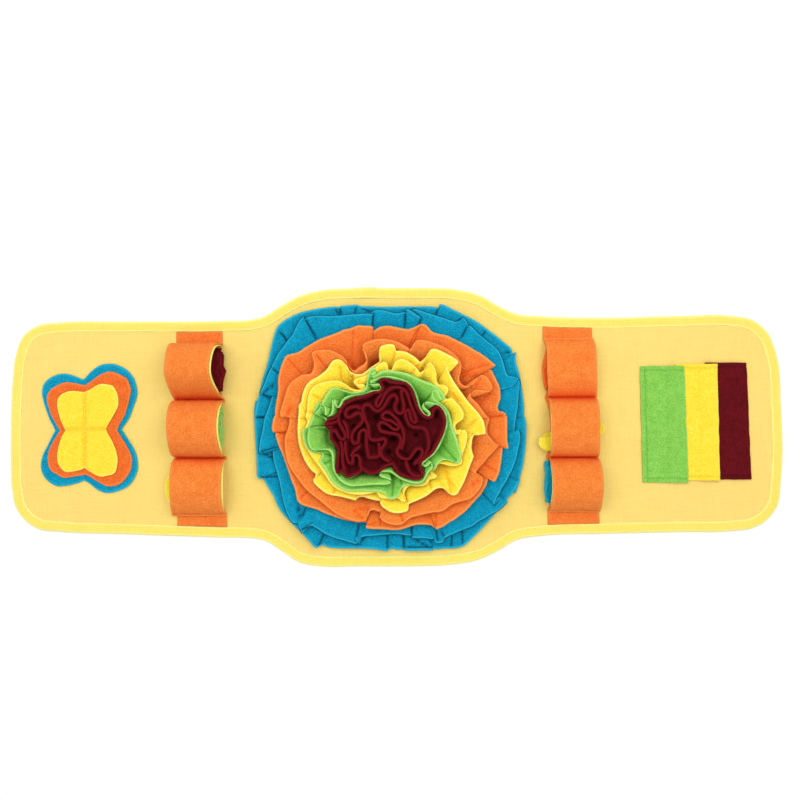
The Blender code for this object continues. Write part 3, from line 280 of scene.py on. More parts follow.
# Crease lines pressed into the strips, from and to, x and y from the rosette's centre.
CREASES = {
    "ruffle_blue": [
        (-120, 105, -112, 94), (68, -117, 67, -131), (79, -111, 80, -128), (-140, -25, -123, -20),
        (-138, 38, -125, 49), (26, -121, 41, -129), (60, -119, 56, -112), (-60, 131, -56, 124),
        (100, 100, 106, 108), (-128, 66, -121, 60), (-3, -117, -3, -131), (15.7, -117, 15.7, -131),
        (20, -130, 45, -130.5), (-36, -117, -33.5, -103), (-35, -125, -26, -117), (-78, -128, -72.5, -115),
        (-96, -110, -87, -105), (24, -105, 24, -118), (49.5, -107, 52, -121), (-95, -95, -92, -86.5),
        (126, 83, 138, 84), (-140, 39.5, -130.5, 32), (-146, 12.5, -136.5, 11.5), (-141, -25.5, -128, -33.5),
        (-128, -18, -127, -34), (-141, -53.6, -123, -53.2), (-100.5, -82, -98.5, -97),
        (-117, 102.5, -112.5, 96.5), (-92.5, 120, -80.5, 98.5), (-54.8, 133, -54.5, 126),
        (-37, 132.5, -38.5, 126.5), (-18.5, 125, -19, 112.5), (-33, 133, -19, 126.5), (17, 127, 16.8, 112),
        (21, 131.5, 33.5, 121), (34, 121, 32.3, 116), (53, 131.5, 51, 125), (84, 112, 78.5, 99),
        (73, 116, 80, 121.5),
    ],
    "ruffle_orange": [
        (-110, 76, -94, 58.5), (-78, 79, -68, 66), (-39, 108, -41, 76), (30, 108, 20, 87), (105, 69, 76, 60),
        (75, 58, 100, 58), (92, 44, 97, 54), (109, 39, 95, 25), (122, 14, 105, 12), (117, -17, 105, -30),
        (105, -30, 93, -43), (116, -47, 100, -37), (95, -55, 83, -63), (49.5, -107, 49.5, -89),
        (-10, -104, -9.5, -94), (-26, -98, -21, -87), (-95, -73, -87, -66.5), (-124, -4, -112, -5),
        (-45, 73, -37, 66), (-111, 12, -104, 26), (15, -100, 12, -92), (-24, -104, -15, -101),
        (-38, -86.3, -22, -86.8), (-21, -89, -25.5, -99), (-38, -87.5, -28, -97),
    ],
    "ruffle_yellow": [
        (32, 60, 41, 70), (-53, 67, -51, 51), (-27, 62, -25, 56), (91, 10, 83, 2), (68, -60, 60, -50),
        (60, -40, 65, -68), (-94, 11, -86, 11), (-88, 18, -80, 18), (-80, 36, -74, 33), (-30, 58, -33, 50),
        (6.5, 82, 3, 73), (31.7, 70, 24, 60), (-36, -75, -33, -69), (-81, -53, -74, -47), (20, -79, 17, -70),
        (-38, 58, -44, 48), (75, 30, 66, 38), (88, -6, 81, -13), (45, -65, 42, -55), (-60, -69, -57, -62),
    ],
    "ruffle_green": [
        (57, -17, 70, -33), (4, -50, 3, -70), (-70, -25, -60, -28), (-84, 2, -66, 4), (-73, 26, -70, 14),
        (-45, 40, -48, 33), (45, 38, 38, 29), (48, -41, 44, -38), (13, -60, 12, -52), (-71, -37, -62, -33),
    ],
}
CREASE_DEPTH = 1.6  # mm that the cloth is pressed in
CREASE_WIDTH = 1.4  # mm from its line at which a crease has mostly faded
CREASE_PAINTED_SHADE = 0.9  # how far a crease is painted with the dye's colour of a hollow, as painted shade
CREASE_AT_RIM = 0.6  # share of a crease's depth that is lost at the pale free edge
OUTER_PAINTED_SHADE = {"ruffle_orange": 0.22}  # how far an outer leaf is painted all over with the colour of a hollow, as painted shade

# A gathered strip: seam half widths, then of its outer and inner leaf the free edge, its height and how soon
# the leaf rises to it (1 is a straight slope), the lift of its laps, and what its inner leaf stands clear of.
Strip = namedtuple("Strip", "name colour seam_x seam_y outer outer_height outer_rise "
                   "inner inner_height inner_rise lap round")
STRIPS = [
    Strip("ruffle_blue", "blue", 104, 94, BLUE_OUTER, 8.5, 1.6, BLUE_INNER, 15.5, 2.0, 2.0, None),
    Strip("ruffle_orange", "orange", 82, 74, ORANGE_OUTER, 25, 2.0, ORANGE_INNER, 32, 2.3, 2.0, None),
    Strip("ruffle_yellow", "yellow", 62, 56, YELLOW_OUTER, 36.5, 2.2, YELLOW_INNER, 41.0, 2.8, 1.6, None),
    Strip("ruffle_green", "green", 43, 39, GREEN_OUTER, 43.5, 2.0, GREEN_INNER, 48.5, 2.2, 1.6, MAROON_OUTER),
]
# Hollows between the maroon folds, deeper than the rest: x, y, radius.
MAROON_HOLLOWS = [
    (-10.4, -17.3, 4.0), (-36.4, 1.7, 3.6), (16.5, -30.5, 4.0), (-32.4, -27.3, 4.0), (-13, 12, 4.5),
    (48, 15, 3.0), (5, -9, 3.5), (24, 30, 3.0), (-48, -16, 2.5), (-1, -24, 3.0), (28, -6, 2.5),
]

# ---------------------------------------------------------------- loops, patches and wads
LOOP_CLOTH = 1.5
LINING_CLOTH = 1.0
STRIP_BASE_CLOTH = 1.7
STRIP_MARGIN = 0.4  # mm between the end of a strip base and the binding
STRIP_DRAWN = 5.5  # mm that a strip base is drawn in under an open loop
LOOP_SEAM_Z = TOP + STRIP_BASE_CLOTH + 2 * SEAM_GAP + LINING_CLOTH + LOOP_CLOTH / 2
ARCH_BULGE = 0.06  # share of its half length that a loop bulges out on both sides
LINING_SHOWN = 22.0  # mm above its seams at which a loop's lining shows in full

# A loop: y of its upper and lower seam, height, how far its crown leans up along Y, x of its crown's sides,
# and how soon its upper and lower halves rise. A seam: x of its ends. A tab: length of a strip's flat end.
Loop = namedtuple("Loop", "start end height lean left right upper_power lower_power")
Seam = namedtuple("Seam", "left right")
LEFT_LOOPS = [
    Loop(90.0, 30.6, 40.0, 3.0, -242.0, -196.0, 0.75, 1.75),
    Loop(27.6, -32.6, 33.0, 2.0, -242.0, -190.0, 0.85, 1.05),
    Loop(-35.6, -95.0, 21.0, 0.0, -242.0, -188.0, 0.85, 1.35),
]
LEFT_SEAMS = [Seam(-242.5, -190.5), Seam(-243.5, -188.8), Seam(-243.0, -187.0), Seam(-246.0, -187.5)]
LEFT_TABS = (0.0, 3.0)
RIGHT_LOOPS = [
    Loop(94.5, 33.6, 15.0, 0.0, 164.5, 216.7, 1.5, 1.0),
    Loop(30.6, -31.8, 23.0, -1.0, 167.4, 218.0, 0.95, 1.0),
    Loop(-34.8, -91.0, 25.0, -1.0, 168.0, 221.1, 0.95, 1.5),
]
RIGHT_SEAMS = [Seam(162.6, 216.1), Seam(166.4, 219.7), Seam(167.9, 221.8), Seam(167.9, 223.5)]
RIGHT_TABS = (2.5, 2.5)
LEFT_STRIP_BASE = ((-241.6, -192.0), (-240.4, -186.8))
RIGHT_STRIP_BASE = ((162.2, 215.2), (168.0, 223.8))

# A wad: y of its middle, width, layers, x of its ends, how far it lies askew, how far the corners of its
# ends are drawn back and how strongly they are crumpled.
Wad = namedtuple("Wad", "name colour y width layers left right skew drawn crumple")
WADS = [
    Wad("wad_left_1", "maroon", 62.5, 45.0, 6, -236.0, -189.0, 1.0, 3.0, 4.2),
    Wad("wad_left_2", "green", -4.5, 46.0, 5, -236.0, -190.5, -1.0, 1.0, 3.2),
    Wad("wad_left_3", "yellow", -68.0, 38.0, 3, -252.0, -194.0, 1.0, 8.0, 0.5),
    Wad("wad_right_1", "ember", 62.5, 43.0, 2, 162.0, 212.0, -1.0, 2.0, 1.8),
    Wad("wad_right_2", "yellow", -9.5, 18.0, 3, 155.5, 228.0, -7.5, 9.0, 2.2),
    Wad("wad_right_3", "blue", -62.0, 43.0, 3, 163.6, 214.0, 1.0, 1.5, 2.4),
]
WAD_CLOTH = 2.0
WAD_PITCH = 3.4  # mm from one layer up to the next
WAD_TAPER = 1.5  # mm that a layer is shorter on both sides than the one below
WAD_TURN = 1.2  # mm that the cloth stands out where it turns back
LAYERS_APART = 37  # mm of ripples from one layer's to the next one's, for each mm of height

BUTTERFLY = (-341.7, -2.5)
# Outlines of its three layers, clockwise, x and y from the rosette's centre; C is a sharp corner.
BUTTERFLY_BLUE = [
    (-368.8, -2.5, C), (-371.8, 3.5), (-374.8, 9), (-377.8, 17), (-380.3, 24), (-382.1, 31), (-383.3, 37),
    (-383.3, 43), (-381.8, 48), (-377.8, 53), (-371.8, 57), (-365.8, 59.3), (-359.8, 60), (-353.8, 59.3),
    (-347.8, 57.5), (-341.8, 55), (-337.8, 53.7, C), (-335.3, 56), (-332.8, 59), (-328.8, 63), (-323.8, 67),
    (-317.8, 70), (-310.8, 71), (-303.8, 70.6), (-297.8, 68.5), (-291.8, 65.5), (-286.8, 61), (-282.3, 54.5),
    (-279.8, 47), (-278.8, 40), (-279.8, 32), (-282.8, 24), (-285.8, 15), (-289.3, 8), (-294.3, 1.3),
    (-295.8, -1.5), (-294.3, -4), (-290.3, -10), (-285.8, -17), (-281.8, -24), (-279.3, -31), (-278.1, -38),
    (-278, -45), (-279.8, -51), (-282.8, -57), (-287.8, -63), (-292.8, -66.5), (-299.8, -69.3),
    (-305.8, -71), (-311.8, -71.5), (-318.8, -69.8), (-323.8, -67), (-328.8, -63), (-332.8, -60),
    (-337.3, -57.7, C), (-341.8, -59.8), (-347.8, -61.5), (-353.8, -63), (-359.8, -63.8), (-367.8, -63.7),
    (-371.8, -62), (-376.8, -58.5), (-380.8, -54), (-383.8, -48), (-384.8, -41), (-383.8, -34),
    (-381.8, -28), (-378.3, -21), (-374.8, -14), (-371.3, -7),
]
BUTTERFLY_ORANGE = [
    (-362.8, -2.5, C), (-366, 2.5), (-370, 9.5), (-373, 15), (-375, 22), (-376.8, 28), (-377.3, 34),
    (-376, 38.5), (-373, 42.5), (-369, 45.5), (-364, 48), (-360, 50), (-356, 50.6), (-350, 50),
    (-345, 49.2), (-340, 48), (-335.5, 47.2, C), (-331, 50), (-326, 53.5), (-321, 57.5), (-315, 60.5),
    (-309, 62.3), (-304, 61.8), (-299, 60), (-294, 57.2), (-289.5, 54.8), (-287, 49.5), (-285, 44),
    (-285.5, 37), (-287, 30), (-289, 23), (-291.5, 15), (-295, 8.5), (-298.5, 2), (-300, -3, C),
    (-297, -7.5), (-293, -14), (-289, -20.5), (-286, -26.5), (-284, -32), (-283.8, -38), (-284.5, -44),
    (-287, -50), (-290.5, -55), (-295, -60), (-301, -63), (-307, -64), (-312, -63.8), (-317, -61),
    (-322, -58.5), (-327, -55.3), (-332, -52.3), (-335, -51, C), (-340, -52), (-346, -53), (-352, -54),
    (-358, -54.6), (-363, -53), (-366.5, -50.5), (-370, -49), (-373.5, -45.5), (-375.5, -41), (-376.3, -35),
    (-375.8, -28), (-374, -21.5), (-370, -14), (-366, -7.5),
]
BUTTERFLY_YELLOW = [
    (-356, -2.5, C), (-358.5, 3), (-361.5, 10), (-363.5, 17.5), (-365, 25), (-364.8, 30), (-362.5, 35),
    (-359, 38), (-354, 40.2), (-347.5, 41), (-341, 40.3), (-335.5, 39.8, C), (-330, 42), (-325, 45),
    (-320, 47.8), (-315, 48.8), (-310, 48), (-304.5, 46.8), (-301.5, 43), (-299, 38), (-298, 31),
    (-298.3, 24), (-301.5, 17.5), (-305, 11), (-308.5, 5.5), (-311.5, -0.5, C), (-310, -5), (-306.5, -11),
    (-303, -18), (-300.5, -24.5), (-299, -31), (-298.7, -36), (-299.5, -42), (-301.5, -48.5), (-305, -51),
    (-310, -52), (-316, -53.2), (-321, -52), (-326, -49.3), (-331, -46.5), (-334.5, -43.3, C), (-339, -45.5),
    (-344, -46.8), (-350, -47.8), (-356, -47.8), (-359.5, -45.5), (-362.5, -41.5), (-364.7, -36),
    (-365, -30), (-364, -23), (-362, -15), (-359.5, -8.5),
]

DARKER = {"butterfly_orange": "rust"}  # pieces that a deeper dye of their colour covers

STRIPE_CLOTH = 2.0
STRIPE_CLIMB = 5.0  # mm over which a panel climbs on the one beside it
STITCH_LINE = 4.6  # mm in from a panel's edge
# A panel: x of its four corners, y of its edges, and x at its top past which it lies on the one beside.
Stripe = namedtuple("Stripe", "name colour top_left top_right low_left low_right upper lower step")
STRIPES = [
    Stripe("stripe_maroon", "maroon", 341.5, 385.7, 344.0, 391.0, 70.6, -58.3, None),
    Stripe("stripe_yellow", "yellow", 308.5, 352.6, 311.0, 355.6, 69.0, -59.3, 336.0),
    Stripe("stripe_green", "green", 269.4, 316.3, 272.7, 320.9, 66.7, -61.5, 300.5),
]

# Cloth colours, sRGB from 0 to 1: body, darker mottling, pale cut edge (partly painted highlight), painted
# fold shade.
Dye = namedtuple("Dye", "base shade edge hollow")
DYES = {
    "apricot": Dye((0.955, 0.840, 0.475), (0.940, 0.810, 0.430), (0.96, 0.86, 0.52), (0.93, 0.76, 0.36)),
    "lemon": Dye((0.945, 0.885, 0.440), (0.940, 0.845, 0.370), (0.955, 0.925, 0.55), (0.93, 0.78, 0.28)),
    "blue": Dye((0.0, 0.650, 0.800), (0.0, 0.480, 0.620), (0.16, 0.70, 0.83), (0.0, 0.17, 0.25)),
    "orange": Dye((0.985, 0.570, 0.260), (0.900, 0.430, 0.130), (1.0, 0.61, 0.31), (0.95, 0.31, 0.06)),
    "rust": Dye((0.965, 0.470, 0.190), (0.880, 0.360, 0.110), (1.0, 0.55, 0.27), (0.85, 0.26, 0.05)),
    "ember": Dye((1.0, 0.400, 0.140), (0.930, 0.300, 0.070), (1.0, 0.48, 0.21), (0.90, 0.20, 0.04)),
    "yellow": Dye((1.0, 0.925, 0.285), (1.0, 0.835, 0.130), (1.0, 0.95, 0.46), (1.0, 0.68, 0.03)),
    "green": Dye((0.575, 0.840, 0.355), (0.435, 0.725, 0.250), (0.68, 0.89, 0.48), (0.27, 0.59, 0.165)),
    "maroon": Dye((0.435, 0.040, 0.080), (0.290, 0.015, 0.042), (0.46, 0.050, 0.095), (0.22, 0.01, 0.02)),
}


# ---------------------------------------------------------------- vectors and curves
def unit(vectors):
    """Vectors of length one."""
    length = np.linalg.norm(vectors, axis=-1, keepdims=True)
    return vectors / np.maximum(length, 1e-9)


def tangents(grid, axis, closed):
    """Direction of a grid of points along one of its axes, halfway between its two neighbours."""
    grid = np.moveaxis(grid, axis, 0)
    ahead = unit(np.roll(grid, -1, 0) - grid)
    behind = np.roll(ahead, 1, 0)
    if not closed:
        ahead[-1] = ahead[-2]
        behind[0] = ahead[0]
    return np.moveaxis(unit(ahead + behind), 0, axis)


def smooth(value):
    """Eases from 0 to 1."""
    value = np.clip(value, 0.0, 1.0)
    return value * value * (3 - 2 * value)


def run_along(path):
    """How far along a row of points each one lies."""
    return np.concatenate([[0], np.cumsum(np.linalg.norm(np.diff(path, axis=0), axis=1))])


def ramp(value, span):
    """Eases from 0 to 1 where a value goes from the start to the end of a span."""
    return smooth((value - span[0]) / (span[1] - span[0]))


def curve_and_starts(points, step, closed=True):
    """Plan curve through points, smooth but at its corners, with a point every step or so; also where each
    given point lies along it."""
    corners = [len(point) > 2 for point in points]
    points = np.array([point[:2] for point in points], float)
    count = len(points)
    chord = np.roll(points, -1, 0) - points
    length = np.linalg.norm(chord, axis=1)
    way = chord / length[:, None]
    before = np.roll(way, 1, 0)
    weight = np.roll(length, 1)
    bend = unit(way * weight[:, None] + before * length[:, None])
    if not closed:
        bend[0] = way[0]
        bend[-1] = way[-2]
    path = []
    starts = []
    for i in range(count if closed else count - 1):
        j = (i + 1) % count
        leave = way[i] if corners[i] else bend[i]
        arrive = way[i] if corners[j] else bend[j]
        pieces = max(1, math.ceil(length[i] / step))
        starts.append(len(path))
        for k in range(pieces):
            t = k / pieces
            place = (2 * t**3 - 3 * t**2 + 1) * points[i] + (3 * t**2 - 2 * t**3) * points[j]
            swing = (t**3 - 2 * t**2 + t) * leave + (t**3 - t**2) * arrive
            path.append(place + swing * length[i])
    if not closed:
        starts.append(len(path))
        path.append(points[-1])
    return np.array(path), np.array(starts)


def curve_through(points, step, closed=True):
    """The plan curve alone."""
    return curve_and_starts(points, step, closed)[0]


def inset(path, distance):
    """A closed clockwise plan curve drawn in by a distance."""
    along = tangents(path, 0, True)
    inward = np.stack([along[:, 1], -along[:, 0]], axis=1)
    return path + inward * distance


def even_steps(path, step):
    """A closed curve read again at even steps."""
    closed = np.vstack([path, path[:1]])
    run = run_along(closed)
    at = np.linspace(0, run[-1], int(run[-1] / step), endpoint=False)
    return np.column_stack([np.interp(at, run, closed[:, k]) for k in range(path.shape[1])])


def mat_outline(step):
    """Outline of the mat, clockwise from above."""
    upper = [(x, top) for x, top, low in OUTLINE]
    lower = [(x, low) for x, top, low in reversed(OUTLINE)]
    return even_steps(curve_through(upper + lower, step), step)


def waves(places, seed, size):
    """Smooth random ripples of about one size over plan points, from -1 to 1: five sine waves."""
    count = 5
    chance = random.Random(seed)
    total = np.zeros(len(places))
    for _ in range(count):
        turn = chance.uniform(0, 2 * math.pi)
        number = 2 * math.pi / (size * chance.uniform(0.7, 1.5))
        along = places[:, 0] * math.cos(turn) + places[:, 1] * math.sin(turn)
        total += np.sin(along * number + chance.uniform(0, 2 * math.pi))
    return total / count


def ripples(places, seed, *kinds):
    """Waves of several sizes over plan points, each kind a size and a height in mm."""
    return sum(waves(places, seed + k, size) * height for k, (size, height) in enumerate(kinds))


# ---------------------------------------------------------------- materials
def linear(colour):
    """An sRGB colour as Blender's linear one."""
    return tuple(c / 12.92 if c <= 0.04045 else ((c + 0.055) / 1.055) ** 2.4 for c in colour) + (1.0,)


class Look:
    """One Principled material and the nodes that feed it."""

    def __init__(self, name, sheen, roughness=0.95):
        self.material = bpy.data.materials.new(name)
        self.material.use_nodes = True
        self.nodes = self.material.node_tree.nodes
        self.links = self.material.node_tree.links
        self.shader = self.nodes["Principled BSDF"]
        self.shader.inputs["Roughness"].default_value = roughness
        self.shader.inputs["Specular IOR Level"].default_value = 0.15
        self.shader.inputs["Sheen Weight"].default_value = sheen
        self.shader.inputs["Sheen Roughness"].default_value = 0.6
        self.place = self.nodes.new("ShaderNodeTexCoord").outputs["Object"]

    def noise(self, scale, detail=2.0, stretch=None):
        """Noise of a scale in waves per metre, or stretched along an axis."""
        node = self.nodes.new("ShaderNodeTexNoise")
        node.inputs["Scale"].default_value = scale
        node.inputs["Detail"].default_value = detail
        place = self.place
        if stretch:
            mapping = self.nodes.new("ShaderNodeMapping")
            mapping.inputs["Scale"].default_value = stretch
            self.links.new(place, mapping.inputs["Vector"])
            place = mapping.outputs["Vector"]
        self.links.new(place, node.inputs["Vector"])
        return node.outputs["Fac"]

    def weave(self, pitch):
        """Crossed threads of a pitch in metres."""
        scale = math.pi / 20 / pitch  # half a wave of the texture in each pitch
        threads = []
        for axis in ("X", "Y"):
            node = self.nodes.new("ShaderNodeTexWave")
            node.bands_direction = axis
            node.inputs["Scale"].default_value = scale
            node.inputs["Distortion"].default_value = 0.6
            node.inputs["Detail"].default_value = 1.0
            self.links.new(self.place, node.inputs["Vector"])
            threads.append(node.outputs["Fac"])
        return self.maths("ADD", *threads)

    def maths(self, operation, first, second):
        """Sum or product of two, which are numbers or sockets."""
        node = self.nodes.new("ShaderNodeMath")
        node.operation = operation
        for value, socket in zip((first, second), node.inputs):
            if isinstance(value, (int, float)):
                socket.default_value = value
            else:
                self.links.new(value, socket)
        return node.outputs["Value"]

    def spread(self, value, low, high, to_low=0.0, to_high=1.0):
        """Maps a value from one range to another."""
        node = self.nodes.new("ShaderNodeMapRange")
        for name, number in zip(("From Min", "From Max", "To Min", "To Max"), (low, high, to_low, to_high)):
            node.inputs[name].default_value = number
        self.links.new(value, node.inputs["Value"])
        return node.outputs["Result"]

    def mix(self, share, first, second):
        """Colour between two, which are colours or sockets."""
        node = self.nodes.new("ShaderNodeMix")
        node.data_type = "RGBA"
        colours = [socket for socket in node.inputs if socket.type == "RGBA"]
        for value, socket in zip((first, second), colours):
            if isinstance(value, tuple):
                socket.default_value = value
            else:
                self.links.new(value, socket)
        self.links.new(share, node.inputs["Factor"])
        return [socket for socket in node.outputs if socket.type == "RGBA"][0]

    def attribute(self, name):
        """A mark that the mesh carries over its points."""
        node = self.nodes.new("ShaderNodeAttribute")
        node.attribute_name = name
        return node.outputs["Fac"]

    def colour(self, socket):
        self.links.new(socket, self.shader.inputs["Base Color"])

    def bumps(self, *layers):
        """Bump nodes one on another: pairs of height and its depth in metres."""
        normal = None
        for height, depth in layers:
            node = self.nodes.new("ShaderNodeBump")
            node.inputs["Strength"].default_value = 1.0
            node.inputs["Distance"].default_value = depth
            self.links.new(height, node.inputs["Height"])
            if normal:
                self.links.new(normal, node.inputs["Normal"])
            normal = node.outputs["Normal"]
        self.links.new(normal, self.shader.inputs["Normal"])


@functools.cache
def fleece(colour):
    """Short napped knit: mottled colour, standing fibres, a paler cut edge that is partly painted highlight,
    and painted warm shade in hollows and creases.
    """
    dye = DYES[colour]
    look = Look("fleece_" + colour, sheen=0.08 if colour == "maroon" else 0.15)
    look.shader.inputs["Sheen Tint"].default_value = linear(dye.edge)
    patches = look.spread(look.noise(120, 3.0), 0.35, 0.65)
    specks = look.spread(look.noise(640, 3.0), 0.36, 0.64)
    tips = look.spread(look.noise(900, 2.0), 0.56, 0.70, 0.0, 0.7)
    pile = look.noise(2400, 2.0)
    share = look.maths("ADD", look.maths("MULTIPLY", patches, 0.3), look.maths("MULTIPLY", specks, 0.7))
    body = look.mix(share, linear(dye.shade), linear(dye.base))
    body = look.mix(tips, body, linear(dye.edge))
    # painted shade: the mesh's shade mark turns the colour towards the dye's warm colour of a hollow
    body = look.mix(look.attribute("painted_shade"), body, linear(dye.hollow))
    # the rim mark gives the paler cut edge, partly the cloth's own colour and partly painted highlight
    look.colour(look.mix(look.attribute("rim"), body, linear(dye.edge)))
    look.bumps((specks, 0.0005), (pile, 0.0002))
    return look.material


def woven(name, colour, pitch):
    """Plain cotton cloth: fine crossed threads of uneven thickness, faintly rumpled."""
    dye = DYES[colour]
    look = Look(name, sheen=0.05, roughness=0.85)
    threads = look.weave(pitch)
    over = look.noise(750, 2.0, stretch=(0.05, 1.0, 1.0))
    down = look.noise(750, 2.0, stretch=(1.0, 0.05, 1.0))
    slubs = look.spread(look.maths("ADD", over, down), 0.75, 1.25)
    patches = look.spread(look.noise(18, 3.0), 0.3, 0.7)
    share = look.maths("ADD", look.maths("MULTIPLY", patches, 0.35), look.maths("MULTIPLY", slubs, 0.65))
    body = look.mix(share, linear(dye.shade), linear(dye.base))
    # the rim mark paints marked ridges in the paler edge colour, a painted highlight
    look.colour(look.mix(look.attribute("rim"), body, linear(dye.edge)))
    look.bumps((slubs, 0.0003), (threads, 0.00006))
    return look.material


@functools.cache
def thread(colour):
    """Twisted sewing thread."""
    dye = DYES[colour]
    look = Look("thread_" + colour, sheen=0.1, roughness=0.6)
    look.colour(look.mix(look.noise(1500, 1.0), linear(dye.shade), linear(dye.edge)))
    look.bumps((look.noise(2500, 1.0), 0.0002))
    return look.material


# ---------------------------------------------------------------- meshes
def add_mesh(name, points, faces, material, marks=None, sharp=60):
    """An object from points in millimetres and faces."""
    mesh = bpy.data.meshes.new(name)
    mesh.from_pydata((np.asarray(points) * MM).tolist(), [], faces)
    mesh.validate()
    mesh.shade_smooth()
    if sharp:
        mesh.set_sharp_from_angle(angle=math.radians(sharp))
    for mark, values in (marks or {}).items():
        mesh.attributes.new(mark, "FLOAT", "POINT").data.foreach_set("value", np.asarray(values, np.float32))
    mesh.materials.append(material)
    item = bpy.data.objects.new(name, mesh)
    bpy.context.scene.collection.objects.link(item)
    return item


def skin(rings, closed):
    """Faces of rings of points, an open row of rings with a cap at each end."""
    rows, count = rings.shape[:2]
    spans = rows if closed else rows - 1
    faces = []
    for i in range(spans):
        here = i * count
        there = ((i + 1) % rows) * count
        for k in range(count):
            m = (k + 1) % count
            faces.append((here + k, there + k, there + m, here + m))
    if not closed:
        faces.append(tuple(range(count)))
        faces.append(tuple(range(rows * count - 1, (rows - 1) * count - 1, -1)))
    return faces


def add_rings(name, rings, material, closed=False, marks=None, sharp=60):
    """An object from rings of points, all with the same count."""
    rings = np.asarray(rings, float)
    return add_mesh(name, rings.reshape(-1, 3), skin(rings, closed), material, marks, sharp)


ROUNDED = 0.38  # share of its thickness that a cloth's rounded rim stands out
IN_PLACE = (0.0, 0.0, 0.0)  # offset of a sheet that isn't placed from the rosette's centre


def add_sheet(name, grid, thickness, material, closed=False, marks=None, offset=(*ROSETTE, 0.0)):
    """A cloth of even thickness, its two long rims rounded, whose middle surface is a grid of points; marks
    are values over the grid that its material reads."""
    across = tangents(grid, 1, False)
    normal = unit(np.cross(tangents(grid, 0, closed), across))
    face = grid + normal * thickness / 2
    back = grid - normal * thickness / 2
    first = grid[:, :1] - across[:, :1] * thickness * ROUNDED
    last = grid[:, -1:] + across[:, -1:] * thickness * ROUNDED
    rings = np.concatenate([face, last, back[:, ::-1], first], axis=1) + np.array(offset)
    around = {mark: np.concatenate([value, value[:, -1:], value[:, ::-1], value[:, :1]], axis=1).ravel()
              for mark, value in (marks or {}).items()}
    return add_rings(name, rings, material, closed, around, sharp=None)


def settle(item, node):
    """The piece rides on the mat and stands for a CAD node, if one is named."""
    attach(item, "root")
    if node:
        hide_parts(node)


# ---------------------------------------------------------------- mat and binding
def distance_to(points, path):
    """Least distance from each plan point to a curve's points."""
    best = np.full(len(points), np.inf)
    for start in range(0, len(path), 50):
        part = path[start:start + 50]
        gap = np.hypot(points[:, None, 0] - part[None, :, 0], points[:, None, 1] - part[None, :, 1])
        best = np.minimum(best, gap.min(axis=1))
    return best


MAT_SPLIT = -15.0  # y that parts the upper side of the outline from the lower one
MAT_COLUMNS = 420
MAT_ROWS = 64
TIP_STEPS = np.array([0.0, 0.4, 1.0])  # mm from the mat's ends to its first columns
RUMPLES_START = 12.0  # mm inside the tape over which the rumples begin


def build_mat(outline):
    """The mat cloth, faintly rumpled, thinner at its rim where the binding passes under it."""
    rim = inset(outline, BINDING_CLOTH + 2 * SEAM_GAP)
    upper = rim[rim[:, 1] > MAT_SPLIT]
    lower = rim[rim[:, 1] <= MAT_SPLIT]
    upper = upper[np.argsort(upper[:, 0])]
    lower = lower[np.argsort(lower[:, 0])]
    xs = np.linspace(rim[:, 0].min() + 0.05, rim[:, 0].max() - 0.05, MAT_COLUMNS)
    xs = np.concatenate([xs[:1] + TIP_STEPS, xs[1:-1], xs[-1:] - TIP_STEPS[::-1]])
    high = np.interp(xs, upper[:, 0], upper[:, 1])
    low = np.interp(xs, lower[:, 0], lower[:, 1])
    even = np.linspace(0, 1, MAT_ROWS)
    shares = smooth(even) * 0.3 + even * 0.7
    y = high[:, None] + (low - high)[:, None] * shares
    x = np.repeat(xs[:, None], len(shares), 1)
    flat = np.column_stack([x.ravel(), y.ravel()])
    gap = distance_to(flat, even_steps(rim, 4.0))
    open_floor = smooth((gap - BINDING_WIDTH) / RUMPLES_START)
    rumples = (ripples(flat, 5, (34, 0.35), (90, 0.4)) - 0.2).clip(-0.7, 0.5)
    top = MAT_THICKNESS + open_floor * rumples
    under = RIM_LIFT * (1 - smooth((gap - BINDING_WIDTH + BINDING_CLOTH) / RIM_SLOPE))
    face = np.column_stack([flat, top]).reshape(*x.shape, 3)
    back = np.column_stack([flat, under]).reshape(*x.shape, 3)
    rings = np.concatenate([face, back[:, ::-1]], axis=1)
    item = add_rings("base_panel", rings, woven("cotton_apricot", "apricot", 0.0007))
    settle(item, "base_panel")


LAP = (-48.0, -22.3)  # x between which the tape's ends overlap on the upper edge
LAP_RISE = 0.9  # mm that the upper end lies higher there
LAP_SLOPE = 3.0  # mm over which it rises
PULL = 0.22  # mm that the tape swells and narrows along the edge
DRAG = 0.3  # mm of the slanting drag lines in the tape
DRAG_PITCH = 6.5  # mm of edge from one drag line to the next
DRAG_SLANT = 9.0  # mm across the tape over which a drag line slants by one pitch
TAPE_SECTION = [  # run in from the edge and height, with the fold rounded and a ridge inside the stitch line
    (0.9, 0.0), (0.3, 0.5), (0.0, 1.4), (0.0, 2.7), (0.35, 3.7), (1.2, 4.35), (3.0, 4.6), (5.5, 4.6),
    (7.8, 4.35), (8.9, 4.0), (9.4, 3.95), (10.1, 4.2), (10.7, 4.05), (11.3, 3.5), (11.4, 3.02), (2.0, 3.3),
    (0.8, 2.4), (0.8, 0.8), (11.2, 0.8), (11.2, 0.0),
]


